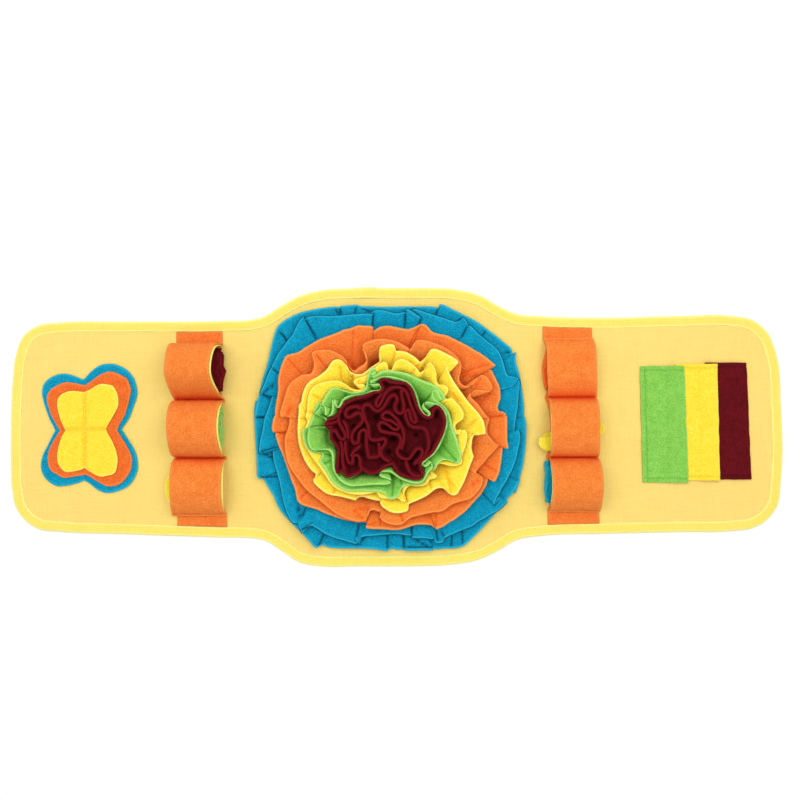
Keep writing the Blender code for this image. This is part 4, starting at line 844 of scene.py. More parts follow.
def build_binding(outline):
    """Bias tape folded over the mat's edge, puffed between its fold and its stitch line, ends lapped."""
    upper_side = outline[:, 1] > 100
    lapped = upper_side & (outline[:, 0] > LAP[0]) & (outline[:, 0] < LAP[1])
    rise = np.where(lapped, LAP_RISE * smooth((outline[:, 0] - LAP[0]) / LAP_SLOPE), 0.0)
    pull = waves(outline, 9, 26) * PULL
    along = run_along(outline)
    drag_strength = waves(outline, 12, 40)
    lines = []
    for run, z in TAPE_SECTION:
        drag = np.sin(2 * math.pi * (along / DRAG_PITCH + run / DRAG_SLANT)) * drag_strength * DRAG
        place = inset(outline, run)
        outward = place - inset(outline, run + 1.0)
        pulled = outward * (pull * (1 if run < 2 else 0.6))[:, None]
        lifted = outward * (rise * max(0.0, 1 - run / 4))[:, None]
        on_face = z > 3.9
        height = z + (rise + pull * 0.5 + drag if on_face else 0.0) * np.ones(len(outline))
        lines.append(np.column_stack([place + pulled * 0.5 + lifted, height]))
    rings = np.stack(lines, axis=1)
    # painted highlight: the tape's raised ridges by its fold and inside its stitch line are marked pale
    painted_ridge_highlight = [3.4 < z and (run > 9.8 or run < 1.5) for run, z in TAPE_SECTION]
    rim = np.repeat(np.array(painted_ridge_highlight, float)[None], len(outline), 0).ravel()
    tape = woven("tape_lemon", "lemon", 0.0006)
    item = add_rings("binding", rings, tape, closed=True, marks={"rim": rim}, sharp=70)
    settle(item, "binding")


# ---------------------------------------------------------------- stitches
STITCH_LENGTH = 3.0
STITCH_GAP = 1.1
STITCH_WIDTH = 0.75
STITCH_SIDES = 6
# Rings of a stitch, a short capsule: share of its length, of its width, and how far it is sunk in widths.
STITCH_RINGS = [(0.0, 0.35, 0.45), (0.18, 0.9, 0.05), (0.5, 1.0, 0.0), (0.82, 0.9, 0.05), (1.0, 0.35, 0.45)]


def stitch_rows(paths):
    """Both ends of each stitch along curves of points x, y, z."""
    made = []
    for path in paths:
        path = np.asarray(path, float)
        run = run_along(path)
        for start in np.arange(0, run[-1] - STITCH_LENGTH, STITCH_LENGTH + STITCH_GAP):
            made.append([np.array([np.interp(at, run, path[:, k]) for k in range(3)])
                         for at in (start, start + STITCH_LENGTH)])
    return made


def add_stitches(name, stitches, colour):
    """All stitches of one thread as one piece."""
    points = []
    faces = []
    sides = STITCH_SIDES
    last = len(STITCH_RINGS) - 1
    for start, end in stitches:
        way = unit(end - start)
        aside = unit(np.cross(way, (0.0, 0.0, 1.0)))
        above = np.cross(aside, way)
        base = len(points)
        for share, swell, sink in STITCH_RINGS:
            centre = start + (end - start) * share - above * sink * STITCH_WIDTH
            for k in range(sides):
                turn = 2 * math.pi * k / sides
                out = aside * math.cos(turn) + above * math.sin(turn)
                points.append(centre + out * STITCH_WIDTH / 2 * swell)
        for ring in range(last):
            for k in range(sides):
                m = (k + 1) % sides
                a = base + ring * sides
                faces.append((a + k, a + m, a + sides + m, a + sides + k))
        faces.append(tuple(base + k for k in reversed(range(sides))))
        faces.append(tuple(base + last * sides + k for k in range(sides)))
    item = add_mesh(name, points, faces, thread(colour))
    settle(item, None)


# ---------------------------------------------------------------- the rosette
class Leaf:
    """Free edge of one leaf: its plan curve, the lift of its laps, and the seam angle of each point."""

    SPACING = 0.8  # mm from point to point
    SPREAD = 60  # mm of edge over which the gathers share out the seam
    EVEN = 0.3  # how far all gathers are shared out evenly round the seam

    def __init__(self, points, lap):
        points = points[::-1]
        path, starts = curve_and_starts(points, self.SPACING)
        closed = np.vstack([path, path[:1]])
        run = run_along(closed)
        self.length = run[-1]
        self.run = np.linspace(0, self.length, int(self.length / self.SPACING), endpoint=False)
        self.x = np.interp(self.run, run, closed[:, 0])
        self.y = np.interp(self.run, run, closed[:, 1])
        self.lift = np.zeros(len(self.run))
        folds = [(run[start], 1.0 if point[2] == T else -1.0)
                 for point, start in zip(points, starts) if len(point) > 2 and point[2] != C]
        if folds:
            marks, levels = zip(*folds)
            self.lift = np.interp(self.run, marks, levels, period=self.length) * lap
        self.angle = self.shared_seam()

    def shared_seam(self):
        """Seam angle of each point: its own angle, evened out over the folds so that it always grows."""
        angle = np.unwrap(np.arctan2(self.y, self.x))
        turns = np.concatenate([angle - 2 * math.pi, angle, angle + 2 * math.pi])
        spread = int(self.SPREAD / self.SPACING)
        even = np.convolve(turns, np.full(spread, 1 / spread), mode="same")[len(angle):2 * len(angle)]
        steady = angle[0] + 2 * math.pi * self.run / self.length
        steady = steady + (even - steady).mean()
        grown = np.maximum.accumulate(even + (steady - even) * self.EVEN)
        return grown + 1e-6 * np.arange(len(grown))

    def at(self, angles):
        """Plan place and lift of the edge where it grows from the given seam angles."""
        return np.column_stack([np.interp(angles, self.angle, value, period=2 * math.pi)
                                for value in (self.x, self.y, self.lift)])


def stations(leaves, step):
    """Seam angles, closer together where either leaf has more edge to share out."""
    angles = np.linspace(0, 2 * math.pi, 12000, endpoint=False)
    pace = np.zeros(len(angles))
    for leaf in leaves:
        edge = leaf.at(angles)
        pace = np.maximum(pace, np.linalg.norm(np.roll(edge, -1, 0) - edge, axis=1))
    run = np.concatenate([[0], np.cumsum(pace)])
    count = int(run[-1] / step)
    return np.interp(np.linspace(0, run[-1], count, endpoint=False), run, np.append(angles, 2 * math.pi))


STRIP_STEP = 1.2  # mm of free edge from one row of points to the next
EDGE_STEPS = np.array([0.0, 0.9, 1.8, 3.2, 5.2, 8.0, 11.5, 15.5, 20.0, 26.0])  # mm in from the free edge
EDGE_PALE = (0.9, 2.2)  # mm in from the free edge over which its pale colour, partly painted highlight, fades
PAINTED_SHADE_DROP = (3.0, 26.0)  # mm below the free edge over which the cloth takes on the painted shade of a hollow


def leaf_rows(start, edge, height, plan_power, rise_power, seed):
    """Points of a leaf from its start to its free edge, and how far each lies in from the edge; the powers
    say how soon it goes out and rises."""
    tip = np.column_stack([edge[:, :2], height + edge[:, 2]])
    span = np.linalg.norm(tip - start, axis=1).mean()
    steps = EDGE_STEPS[EDGE_STEPS < span * 0.8]
    shares = np.concatenate([np.linspace(0, 1 - steps[-1] / span, 5)[:-1], 1 - steps[::-1] / span])
    rows = []
    for share in shares:
        plan_share = 1 - (1 - share) ** plan_power
        rise = 1 - (1 - share) ** rise_power
        plan = start[:, :2] + (tip[:, :2] - start[:, :2]) * plan_share
        z = start[:, 2] + (tip[:, 2] - start[:, 2]) * rise
        swell = share * (1 - share) * 3.2 + 0.4 * share
        rows.append(np.column_stack([plan, z + ripples(plan, seed, (15, 0.6), (40, 0.9)) * swell]))
    grid = np.stack(rows, axis=1)
    off = np.linalg.norm(grid - grid[:, -1:], axis=2)
    return grid, off


def pressed(plan, lines):
    """How strongly each plan point lies in one of the crease lines, from 0 to 1."""
    total = np.zeros(len(plan))
    for x0, y0, x1, y1 in lines:
        start = np.array([x0, y0])
        way = np.array([x1 - x0, y1 - y0])
        share = np.clip((plan - start) @ way / (way @ way), 0, 1)
        gap = np.linalg.norm(plan - start - share[:, None] * way, axis=1)
        total = np.maximum(total, np.exp(-(gap / CREASE_WIDTH) ** 2))
    return total


def within(points, path):
    """Whether plan points lie inside a closed curve."""
    x, y = points[:, :1], points[:, 1:2]
    ax, ay = path[:, 0][None], path[:, 1][None]
    bx, by = np.roll(path[:, 0], -1)[None], np.roll(path[:, 1], -1)[None]
    level = np.where(by == ay, 1.0, by - ay)
    crosses = ((ay > y) != (by > y)) & (x < (bx - ax) * (y - ay) / level + ax)
    return crosses.sum(axis=1) % 2 == 1


def stand_clear(start, edge, outline):
    """Moves a leaf's start out and up to its edge until the leaf stands clear of a closed outline."""
    path = curve_through(outline, 2.0)
    way = edge[:, :2] - start[:, :2]
    share = np.zeros(len(start))
    for step in np.linspace(0, CLEAR_MOST, 48):
        share[within(start[:, :2] + way * step, path)] = step
    share = np.minimum(share + CLEAR_MORE, CLEAR_MOST)
    share = evened(share, 4, np.max)
    moved = start.copy()
    moved[:, :2] += way * share[:, None]
    moved[:, 2] += CLEAR_RISE * share
    return moved


def evened(values, reach, pick):
    """Values along a closed row, each one picked from its neighbours."""
    wide = np.concatenate([values[-reach:], values, values[:reach]])
    return np.array([pick(wide[k:k + 2 * reach + 1]) for k in range(len(values))])


def drawn_seam(seam, inner_edge):
    """The seam, drawn in where the inner leaf's edge comes close to it."""
    radius = np.linalg.norm(seam[:, :2], axis=1)
    reach = np.linalg.norm(inner_edge[:, :2], axis=1) - SEAM_COVER
    share = np.clip(reach / radius, SEAM_DRAWN, 1.0)
    share = evened(evened(share, 5, np.min), 9, np.mean)
    return np.column_stack([seam[:, :2] * share[:, None], seam[:, 2]])


def build_strip(strip, seed):
    """One gathered strip: outer leaf, seam and inner leaf as one sheet that runs round the rosette."""
    outer = Leaf(strip.outer, strip.lap)
    inner = Leaf(strip.inner, strip.lap)
    angles = stations((outer, inner), STRIP_STEP)
    outer_edge = outer.at(angles)
    inner_edge = inner.at(angles)
    around = np.column_stack([np.cos(angles), np.sin(angles)])
    seam = np.column_stack([around * (strip.seam_x, strip.seam_y), np.full(len(angles), SEAM_Z)])
    if strip.name != "ruffle_blue":
        seam = drawn_seam(seam, inner_edge)
    crook = np.column_stack([seam[:, :2] - around * CROOK[0], seam[:, 2] + CROOK[1]])
    if strip.round:
        crook = stand_clear(crook, inner_edge, strip.round)
    out, off_out = leaf_rows(seam, outer_edge, strip.outer_height, 1.0, strip.outer_rise, seed)
    into, off_in = leaf_rows(crook, inner_edge, strip.inner_height, 1.0, strip.inner_rise, seed + 3)
    grid = np.concatenate([out[:, ::-1], into], axis=1)
    off = np.concatenate([off_out[:, ::-1], off_in], axis=1)
    # pale free edge, partly the cut edge's own colour and partly painted highlight
    rim = 1 - ramp(off, EDGE_PALE)
    outer_part = out.shape[1]
    top = np.full(grid.shape[1], float(strip.inner_height))
    top[:outer_part] = strip.outer_height
    # painted shade: the lower the cloth lies below its leaf's free edge, the more it takes the colour of a
    # hollow
    painted_shade = ramp(top - grid[:, :, 2], PAINTED_SHADE_DROP)
    crease = pressed(grid[:, :, :2].reshape(-1, 2), CREASES[strip.name]).reshape(painted_shade.shape)
    grid[:, :, 2] -= crease * CREASE_DEPTH * (1 - rim * CREASE_AT_RIM)
    # painted shade over the whole outer leaf where one is given
    painted_shade[:, :outer_part] = np.maximum(painted_shade[:, :outer_part], OUTER_PAINTED_SHADE.get(strip.name, 0.0))
    # painted shade along the crease lines
    painted_shade = np.maximum(painted_shade, crease * CREASE_PAINTED_SHADE)
    # painted shadow: the inner leaf's cut edge loses its pale rim and takes the colour of a hollow
    rim[:, -1] = 0.0
    painted_shade[:, -1] = INNER_EDGE_PAINTED_SHADOW
    marks = {"rim": rim, "painted_shade": painted_shade}
    item = add_sheet(strip.name, grid, LEAF_CLOTH, fleece(strip.colour), closed=True, marks=marks)
    settle(item, strip.name)


RIBBON_CLOTH = 3.0
RIBBON_STEP = 1.0  # mm from point to point along a ribbon
RIBBON_LEVELS = np.array([0, 0.9, 1.8, 3.0, 5.0, 8.0, 12.0, 17.0])  # mm below its free edge
RIBBON_SWAY = 1.5  # mm that a ribbon sways 20 mm below its free edge
MAROON_SEAM = (27, 25)  # half widths
MAROON_HEIGHT = 50.0  # of the outer leaf
MAROON_SPREAD = 3.2  # how soon the outer leaf goes out over its free edge's place
FOLD_HEIGHT = 51.0
FOLD_FOOT = 22.0
HEART_HEIGHT = FOLD_HEIGHT + 2.5
HEART_FOOT = 6.0
BED_DROP = 3.0  # mm from the folds' edges down to the cloth between them
BED_SINK = 9.0  # mm that it sinks between them
HOLLOW_SINK = 8.0  # mm more in a hollow


def ribbon_marks(off, start, run):
    """Marks of maroon cloth that lies so far in from its free edge: pale at the edge, partly painted
    highlight, then painted shade that slowly grows further down.
    """
    return {"rim": 1 - smooth((off - 0.6) / 2.2), "painted_shade": smooth((off - start) / run)}


def ribbon_grid(points, top, foot, seed):
    """An upright ribbon whose free edge follows a plan curve at a height, swaying a little lower down."""
    path = curve_through(points, RIBBON_STEP, closed=False)
    levels = np.append(RIBBON_LEVELS[RIBBON_LEVELS < top - foot - 2], top - foot)
    edge = top + waves(path, seed, 40) * 1.5
    rows = []
    for level in levels:
        shift = np.column_stack([waves(path, seed + 4, 30), waves(path, seed + 5, 30)])
        rows.append(np.column_stack([path + shift * RIBBON_SWAY * level / 20, edge - level]))
    grid = np.stack(rows[::-1], axis=1)
    off = np.broadcast_to(levels[::-1], grid.shape[:2])
    return grid, ribbon_marks(off, 4, 14), path


def build_maroon_bed(edge, curves):
    """The slack of the maroon folds: crumpled cloth that runs from ribbon to ribbon below their edges."""
    rows = []
    for share in np.concatenate([[0.015], np.linspace(0.05, 1, 64)]):
        rows.append(inset(edge, -2.0 * share) * share * 0.97)
    plan = np.stack(rows[::-1], axis=1)
    flat = plan.reshape(-1, 2)
    gap = distance_to(flat, np.vstack(curves))
    sink = BED_SINK * smooth((gap - 0.8) / 3.6) + ripples(flat, 61, (8, 1.0), (19, 2.2))
    for x, y, radius in MAROON_HOLLOWS:
        away = np.hypot(flat[:, 0] - x, flat[:, 1] - y)
        sink += HOLLOW_SINK * (1 - smooth(away / radius / 1.8))
    z = FOLD_HEIGHT - BED_DROP - sink
    grid = np.column_stack([flat, z]).reshape(*plan.shape[:2], 3)
    # painted shade: the deeper the cloth sinks between the folds, the more it takes the colour of a hollow
    painted_shade = smooth((sink.reshape(plan.shape[:2]) - 5) / 14)
    marks = {"rim": np.zeros(painted_shade.shape), "painted_shade": painted_shade}
    item = add_sheet("maroon_bed", grid, LEAF_CLOTH, fleece("maroon"), closed=True, marks=marks)
    settle(item, None)


def build_maroon():
    """The maroon strip: its outer leaf, then the folds of its inner leaf and the heart as upright ribbons."""
    leaf = Leaf(MAROON_OUTER, 0.0)
    angles = stations((leaf,), RIBBON_STEP)
    around = np.column_stack([np.cos(angles), np.sin(angles)])
    seam = np.column_stack([around * MAROON_SEAM, np.full(len(angles), SEAM_Z)])
    grid, off = leaf_rows(seam, leaf.at(angles), MAROON_HEIGHT, MAROON_SPREAD, 1.0, 71)
    marks = ribbon_marks(off, 6, 16)
    item = add_sheet("ruffle_maroon", grid, RIBBON_CLOTH, fleece("maroon"), closed=True, marks=marks)
    settle(item, "ruffle_maroon")
    curves = [grid[:, -1, :2]]
    for number, points in enumerate(MAROON_FOLDS, 1):
        grid, marks, path = ribbon_grid(points, FOLD_HEIGHT, FOLD_FOOT, 80 + 7 * number)
        item = add_sheet("maroon_fold_%d" % number, grid, RIBBON_CLOTH, fleece("maroon"), marks=marks)
        settle(item, None)
        curves.append(path)
    grid, marks, path = ribbon_grid(HEART_FOLD, HEART_HEIGHT, HEART_FOOT, 200)
    item = add_sheet("heart_maroon", grid, RIBBON_CLOTH, fleece("maroon"), marks=marks)
    settle(item, "heart_maroon")
    curves.append(path)
    build_maroon_bed(curves[0][::-1], curves)


# ---------------------------------------------------------------- loops
ARCH_ANGLES = np.linspace(0, 180, 49)
TAB_SHARES = np.array([0.2, 0.6, 1.0])
LOOP_PALE = 0.6  # paleness, partly painted highlight, of a loop strip's side edges; its ends are paler
LINING_TUCKED = 0.9  # mm that a lining's edges lie hidden at its seams
# How much wider than its loops a lining shows at its left and right side.
LINING_WIDER = {"left": (-0.6, 1.9), "right": (0.6, -0.6)}


def loop_profile(loops, seams, tabs):
    """Middle line of a loop strip from its upper end to its lower end: y, z, left x, right x."""
    rows = []
    if tabs[0]:
        for share in TAB_SHARES[::-1]:
            rows.append((loops[0].start + tabs[0] * share, LOOP_SEAM_Z, *seams[0]))
    for i, loop in enumerate(loops):
        middle = (loop.start + loop.end) / 2
        half = (loop.start - loop.end) / 2
        for degrees in ARCH_ANGLES:
            up = math.sin(math.radians(degrees))
            along = half * math.cos(math.radians(degrees)) * (1 + ARCH_BULGE * up)
            y = middle + along + loop.lean * up
            power = loop.upper_power if degrees < 90 else loop.lower_power
            z = LOOP_SEAM_Z + loop.height * max(up, 0.0) ** power
            seam = seams[i] if degrees < 90 else seams[i + 1]
            left = seam.left + (loop.left - seam.left) * up
            right = seam.right + (loop.right - seam.right) * up
            rows.append((y, z, left, right))
    if tabs[1]:
        for share in TAB_SHARES:
            rows.append((loops[-1].end - tabs[1] * share, LOOP_SEAM_Z, *seams[-1]))
    return np.array(rows)


def loop_grid(profile, drop, seed, wider=None):
    """Middle surface of a strip that lies a drop below its profile, faintly rippled; where it stands up it
    can be wider by some mm to the left and to the right."""
    line = profile[:, :2]
    way = tangents(line, 0, False)
    above = np.stack([way[:, 1], -way[:, 0]], axis=1)
    middle = line - above * drop
    left, right = profile[:, 2], profile[:, 3]
    if wider:
        lift = smooth((profile[:, 1] - LOOP_SEAM_Z) / LINING_SHOWN)
        left = left - wider[0] * lift + LINING_TUCKED * (1 - lift)
        right = right + wider[1] * lift - LINING_TUCKED * (1 - lift)
    run = run_along(line)
    wobble = waves(np.column_stack([run, run * 0]), seed, 38) * 0.5
    rows = []
    for share in np.linspace(0, 1, 19):
        x = left + wobble + (right - left) * share
        puff = waves(np.column_stack([run, x]), seed + 2, 46) * 0.35
        rows.append(np.column_stack([x, middle + above * puff[:, None]]))
    return np.stack(rows, axis=1)[:, ::-1]


def build_loops(side, loops, seams, tabs, seed):
    """A strip that stands up in three loops and the thin lining under it; returns its tabs' seam lines."""
    profile = loop_profile(loops, seams, tabs)
    grid = loop_grid(profile, 0.0, seed)
    # pale side edges and ends, partly the cut edge's own colour and partly painted highlight
    rim = np.zeros(grid.shape[:2])
    rim[:, [0, -1]] = LOOP_PALE
    rim[[0, -1], :] = 1.0
    # painted shade in the creases between the loops: their low flanks, away from the strip's ends, take the
    # colour of a hollow
    inside = (profile[:, 0] < loops[0].start - 15) & (profile[:, 0] > loops[-1].end + 15)
    painted_shade = np.where(inside, 0.9 * smooth(1 - (profile[:, 1] - LOOP_SEAM_Z) / 17), 0.0)
    marks = {"rim": rim, "painted_shade": np.repeat(painted_shade[:, None], grid.shape[1], 1)}
    item = add_sheet(side + "_loops", grid, LOOP_CLOTH, fleece("orange"), marks=marks, offset=IN_PLACE)
    settle(item, side + "_loops")
    drop = LOOP_CLOTH / 2 + SEAM_GAP + LINING_CLOTH / 2
    lining = loop_grid(profile, drop, seed, LINING_WIDER[side])
    # pale side edges, partly the cut edge's own colour and partly painted highlight
    rim = np.zeros(lining.shape[:2])
    rim[:, [0, 1, -2, -1]] = 1.0
    marks = {"rim": rim, "painted_shade": np.zeros(rim.shape)}
    item = add_sheet(side + "_loops_lining", lining, LINING_CLOTH, fleece("yellow"), marks=marks,
                     offset=IN_PLACE)
    settle(item, side + "_loops_lining")
    height = LOOP_SEAM_Z + LOOP_CLOTH / 2
    ends = [
        (seams[0], loops[0].start + tabs[0] / 2, tabs[0]),
        (seams[-1], loops[-1].end - tabs[1] / 2, tabs[1]),
    ]
    return [[(seam.left + 1, y, height), (seam.right - 1, y, height)] for seam, y, tab in ends if tab]


def binding_edge(outline, x, upper):
    """y of the binding's inner edge at x, on the upper or the lower side of the mat."""
    inner = inset(outline, BINDING_WIDTH)
    side = inner[inner[:, 1] > 0] if upper else inner[inner[:, 1] < 0]
    side = side[np.argsort(side[:, 0])]
    return float(np.interp(x, side[:, 0], side[:, 1]))


def edge_marks(grid, level):
    """A mark of one level along all four edges of a grid."""
    mark = np.full(grid.shape[:2], level)
    mark[1:-1, 1:-1] = 0.0
    return mark


def build_strip_base(side, edges, loops, outline):
    """The flat strip under a row of loops, drawn in under each loop on the side of the rosette."""
    top_corners = np.array([(x, binding_edge(outline, x, True) - STRIP_MARGIN) for x in edges[0]])
    low_corners = np.array([(x, binding_edge(outline, x, False) + STRIP_MARGIN) for x in edges[1]])
    down = np.linspace(0, 1, 90)
    over = np.linspace(0, 1, 24)
    b = over[:, None]
    a = down[:, None, None]
    top = top_corners[0] * (1 - b) + top_corners[1] * b
    low = low_corners[0] * (1 - b) + low_corners[1] * b
    grid = np.zeros((len(down), len(over), 3))
    grid[:, :, :2] = top * (1 - a) + low * a
    open_share = np.zeros(len(down))
    for loop in loops:
        along = (grid[:, 0, 1] - loop.end) / (loop.start - loop.end)
        open_share += np.where((along > 0) & (along < 1), np.sin(math.pi * np.clip(along, 0, 1)) ** 0.6, 0.0)
    facing = over if side == "left" else over - 1
    grid[:, :, 0] -= open_share[:, None] * facing[None] * STRIP_DRAWN
    grid[:, :, 2] = TOP + STRIP_BASE_CLOTH / 2
    # pale edges, partly the cut edge's own colour and partly painted highlight; the whole strip base takes an
    # even 0.15 of the colour of a hollow
    rim = edge_marks(grid, 0.5)
    item = add_sheet(side + "_strip_base", grid, STRIP_BASE_CLOTH, fleece("orange"),
                     marks={"rim": rim, "painted_shade": np.full(rim.shape, 0.15)}, offset=IN_PLACE)
    settle(item, side + "_strip_base")


def build_wad(wad, seed):
    """Cloth folded back and forth in layers and tucked through a loop along X, crumpled at its ends."""
    floor = TOP + STRIP_BASE_CLOTH + SEAM_GAP + WAD_CLOTH / 2
    half = wad.width / 2
    line = []
    for layer in range(wad.layers):
        z = floor + layer * WAD_PITCH
        way = 1 if layer % 2 == 0 else -1
        short = half - WAD_TAPER * layer
        for share in np.linspace(-1, 1, 9):
            line.append((way * short * share, z))
        if layer + 1 < wad.layers:
            for degrees in (45, 90, 135):
                turn = math.radians(degrees)
                y = way * (short + WAD_TURN * math.sin(turn))
                line.append((y, z + WAD_PITCH * (1 - math.cos(turn)) / 2))
    line = np.array(line)
    rows = []
    for share in np.linspace(0, 1, 40):
        x = wad.left + (wad.right - wad.left) * share
        sway = wad.skew * math.cos(math.pi * share)
        end = abs(2 * share - 1) ** 3
        plan = np.column_stack([np.full(len(line), x), line[:, 0] + LAYERS_APART * line[:, 1]])
        crumple = waves(plan, seed, 13) * 0.8 * (0.4 + end)
        slide = waves(np.column_stack([line[:, 0], line[:, 1] * 5]), seed + 3, 12) * wad.crumple
        slide = (slide - wad.drawn * (line[:, 0] / half) ** 2) * (2 * share - 1)
        rows.append(np.column_stack([x + slide, wad.y + sway + line[:, 0],
                                     np.maximum(floor, line[:, 1] + crumple * 0.6)]))
    grid = np.stack(rows, axis=1)
    # pale cut ends of the folded cloth, partly their own colour and partly painted highlight
    rim = np.zeros(grid.shape[:2])
    rim[:, [0, -1]] = 1
    item = add_sheet(wad.name, grid, WAD_CLOTH, fleece(wad.colour),
                     marks={"rim": rim, "painted_shade": np.zeros(rim.shape)}, offset=IN_PLACE)
    settle(item, wad.name)


# ---------------------------------------------------------------- patches
PATCH_STEP = 1.2  # mm from point to point along a patch's edge
PATCH_SIDE = [(0.992, 0.0), (1.0, 0.35), (1.0, 0.7)]  # share of the outline and of the thickness
PATCH_RINGS = [1.0, 0.985, 0.96, 0.92, 0.86, 0.78, 0.68, 0.57, 0.45, 0.33, 0.21, 0.1, 0.015]
PATCH_RIPPLE = 0.25  # mm
PATCH_ROUND = 0.25  # mm that the rim of its top is rounded down
PATCH_REACH = 40.0  # mm from a patch's middle to its edge, about


def build_patch(name, colour, outline, low, thickness, dent=None):
    """A flat fleece piece with rounded rims, cut to an outline; dent gives how far its top is pressed in."""
    path = even_steps(curve_through(outline, PATCH_STEP), PATCH_STEP)
    path = path + np.array(ROSETTE) - np.array(BUTTERFLY)
    layers = []
    marks = [0.0, 1.0, 1.0]
    for share, up in PATCH_SIDE:
        layers.append(np.column_stack([path * share, np.full(len(path), low + thickness * up)]))
    for share in PATCH_RINGS:
        plan = path * (share - 0.006)
        edge = (1 - share) * PATCH_REACH
        ripple = waves(plan, 31, 30) * PATCH_RIPPLE * min(1.0, edge / 6)
        z = low + thickness - PATCH_ROUND * math.exp(-edge) + ripple
        if dent:
            z = z - dent(plan)
        layers.append(np.column_stack([plan, z]))
        marks.append(1.0 if share > 0.975 else 0.0)
    rings = np.array(layers) + (*BUTTERFLY, 0.0)
    # pale rim, partly the cut edge's own colour and partly painted highlight
    rim = np.repeat(np.array(marks)[:, None], len(path), 1).ravel() * 0.6
    # painted shade in the dent of the cross seam
    painted_seam_shade = np.zeros(rim.shape)
    if dent:
        painted_seam_shade = dent(rings[:, :, :2].reshape(-1, 2) - np.array(BUTTERFLY)) * 0.45
    item = add_rings(name, rings, fleece(DARKER.get(name, colour)), marks={"rim": rim, "painted_shade": painted_seam_shade})
    settle(item, name)
    return item


def polygon_area(path):
    """Area in a closed plan curve in square metres."""
    x, y = path[:, 0], path[:, 1]
    return abs((x * np.roll(y, -1) - y * np.roll(x, -1)).sum()) / 2 * MM**2


CROSS = (0.3, 0.0)  # place of the butterfly's cross seam, x and y from its middle
QUILT_DEPTH = 1.1  # mm that one seam presses in the top layer
QUILT_WIDTH = 2.2  # mm from the seam at which it has mostly faded


def quilted(plan):
    """How far the cross seam presses in a plan point of the butterfly."""
    across = np.exp(-((plan - CROSS) / QUILT_WIDTH) ** 2) * QUILT_DEPTH
    return across.sum(axis=1).clip(0, 1.2)


def build_butterfly():
    """Three fleece layers of one wing outline; returns the lines of the cross seam that quilts them."""
    layers = [
        ("butterfly_blue", "blue", BUTTERFLY_BLUE, None, (0.108, 0.140)),
        ("butterfly_orange", "orange", BUTTERFLY_ORANGE, None, (0.093, 0.125)),
        ("butterfly_yellow", "yellow", BUTTERFLY_YELLOW, quilted, (0.068, 0.100)),
    ]
    for level, (name, colour, outline, dent, flat) in enumerate(layers):
        low = TOP + level * (FLEECE + SEAM_GAP)
        item = build_patch(name, colour, outline, low, FLEECE + (0.5 if dent else 0.1), dent)
        area = polygon_area(curve_through(outline, PATCH_STEP))
    z = TOP + 2 * (FLEECE + SEAM_GAP) + FLEECE - 0.35
    x, y = BUTTERFLY[0] + CROSS[0], BUTTERFLY[1] + CROSS[1]
    return [[(x, y + 40, z), (x, y - 42, z)], [(x - 21.3, y, z), (x + 20.2, y, z)]]


PANEL_STEPS = np.array([0, 0.7, 1.5, 3.0, 3.9, 4.6, 5.3, 6.2, 8.0])  # mm in from a panel's edge
SEAM_WIDTH = 0.8  # mm from a panel's stitch line at which its dent has mostly faded
SEAM_DEPTH = 0.55  # mm that a panel is pressed in at its stitch line


def seam_dent(distance):
    """How strongly the cloth is pressed in at a distance from a stitch line, from 0 to 1."""
    return np.exp(-(distance / SEAM_WIDTH) ** 2)


def build_stripe(stripe, seed):
    """One fleece panel of the striped patch, whose right part may lie on the panel beside it."""
    low = TOP + STRIPE_CLOTH / 2
    rise = STRIPE_CLOTH + SEAM_GAP
    height = stripe.upper - stripe.lower
    down = np.concatenate([PANEL_STEPS, np.linspace(10, height - 10, 70), height - PANEL_STEPS[::-1]])
    down = down / height
    width = stripe.top_right - stripe.top_left
    over = np.concatenate([PANEL_STEPS, np.linspace(9.5, width - 2, 26), [width - 0.8, width]]) / width
    rows = []
    dents = []
    for share in down:
        y = stripe.upper + (stripe.lower - stripe.upper) * share
        left = stripe.top_left + (stripe.low_left - stripe.top_left) * share
        right = stripe.top_right + (stripe.low_right - stripe.top_right) * share
        x = left + (right - left) * over
        z = np.full(len(x), low)
        if stripe.step is not None:
            climb = stripe.step + (stripe.low_left - stripe.top_left) * share
            z = low + rise * smooth((x - climb + STRIPE_CLIMB) / STRIPE_CLIMB)
        plan = np.column_stack([x, np.full(len(x), y)])
        ends = min(abs(share * height - STITCH_LINE), abs((1 - share) * height - STITCH_LINE))
        seam = np.full(len(x), seam_dent(ends))
        if stripe.name == "stripe_green":
            seam = np.maximum(seam, seam_dent(over * width - STITCH_LINE))
        z = z + waves(plan, seed, 32) * 0.2 - SEAM_DEPTH * seam
        wander = waves(plan, seed + 1, 22) * 0.5
        rows.append(np.column_stack([x + wander, plan[:, 1] + waves(plan, seed + 2, 18) * 0.4, z]))
        dents.append(seam)
    grid = np.array(rows)[:, ::-1]
    # painted shade in the dents along the stitch lines
    painted_shade = np.array(dents)[:, ::-1] * 0.5
    # pale edges, partly the cut edge's own colour and partly painted highlight
    rim = edge_marks(grid, 0.5)
    item = add_sheet(stripe.name, grid, STRIPE_CLOTH, fleece(stripe.colour),
                     marks={"rim": rim, "painted_shade": painted_shade}, offset=IN_PLACE)
    settle(item, stripe.name)


# ---------------------------------------------------------------- the studio
def add_light(name, place, target, size, power):
    """A square soft light that faces a target."""
    data = bpy.data.lights.new(name, "AREA")
    data.shape = "SQUARE"
    data.size = size
    data.energy = power
    item = bpy.data.objects.new(name, data)
    bpy.context.scene.collection.objects.link(item)
    item.location = place
    item.rotation_euler = (Vector(target) - Vector(place)).to_track_quat("-Z", "Y").to_euler()


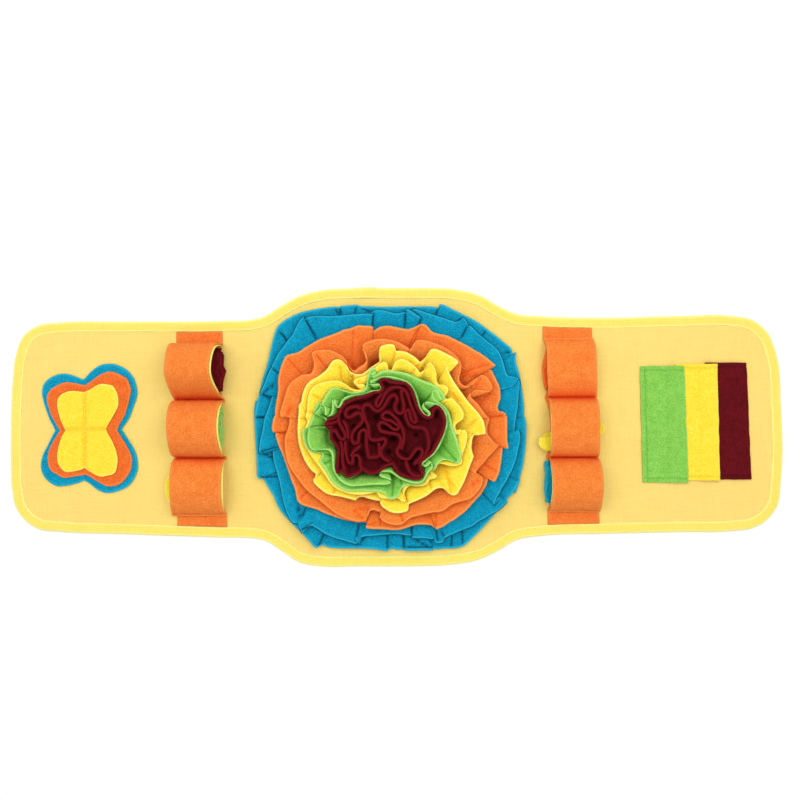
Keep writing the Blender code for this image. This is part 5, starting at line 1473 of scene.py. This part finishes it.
def build_studio():
    """White floor and backdrop colour, two soft key lights over the mat's halves and a low fill."""
    scene = bpy.context.scene
    world = bpy.data.worlds.new("studio")
    world.use_nodes = True
    background = world.node_tree.nodes["Background"]
    background.inputs["Color"].default_value = (1.0, 1.0, 1.0, 1.0)
    background.inputs["Strength"].default_value = 0.67
    scene.world = world
    scene.view_settings.view_transform = "Standard"
    look = Look("white_floor", sheen=0.0, roughness=0.9)
    look.shader.inputs["Base Color"].default_value = (0.95, 0.95, 0.95, 1.0)
    size = 3000.0
    corners = [(-size, -size, -0.2), (size, -size, -0.2), (size, size, -0.2), (-size, size, -0.2)]
    floor = add_mesh("studio_floor", corners, [(0, 1, 2, 3)], look.material)
    add_light("key_left", (-0.45, 0.35, 1.1), (-0.2, 0, 0), 0.8, 4.8)
    add_light("key_right", (0.45, 0.35, 1.1), (0.2, 0, 0), 0.8, 4.7)
    add_light("fill", (0.0, -0.6, 1.3), (0, 0, 0), 1.4, 2.4)


def build_camera():
    """Straight above the mat, at the photograph's distance and lens."""
    data = bpy.data.cameras.new("camera")
    data.sensor_width = 36.0
    data.lens = 34.65
    data.clip_end = 20.0
    item = bpy.data.objects.new("camera", data)
    item.location = (0.0044, 0.0293, 0.853)
    bpy.context.scene.collection.objects.link(item)
    bpy.context.scene.camera = item


BINDING_STITCHES = (9.2, 4.1)  # mm in from the mat's edge and up


def main():
    """Builds the whole picture; a last number, where a piece is given one, is the seed of its ripples."""
    build_camera()
    outline = mat_outline(2.5)
    build_mat(outline)
    build_binding(outline)
    for number, strip in enumerate(STRIPS):
        build_strip(strip, 100 + 11 * number)
    build_maroon()
    build_strip_base("left", LEFT_STRIP_BASE, LEFT_LOOPS, outline)
    build_strip_base("right", RIGHT_STRIP_BASE, RIGHT_LOOPS, outline)
    seams = build_loops("left", LEFT_LOOPS, LEFT_SEAMS, LEFT_TABS, 300)
    seams += build_loops("right", RIGHT_LOOPS, RIGHT_SEAMS, RIGHT_TABS, 320)
    add_stitches("loop_stitches", stitch_rows(seams), "orange")
    for number, wad in enumerate(WADS):
        build_wad(wad, 400 + 10 * number)
    cross = build_butterfly()
    add_stitches("butterfly_stitches", stitch_rows(cross), "yellow")
    for number, stripe in enumerate(STRIPES):
        build_stripe(stripe, 500 + 10 * number)
    tape_line = inset(outline, BINDING_STITCHES[0])
    tape_line = np.column_stack([tape_line, np.full(len(tape_line), BINDING_STITCHES[1])])
    add_stitches("binding_stitches", stitch_rows([np.vstack([tape_line, tape_line[:1]])]), "lemon")
    build_studio()


main()
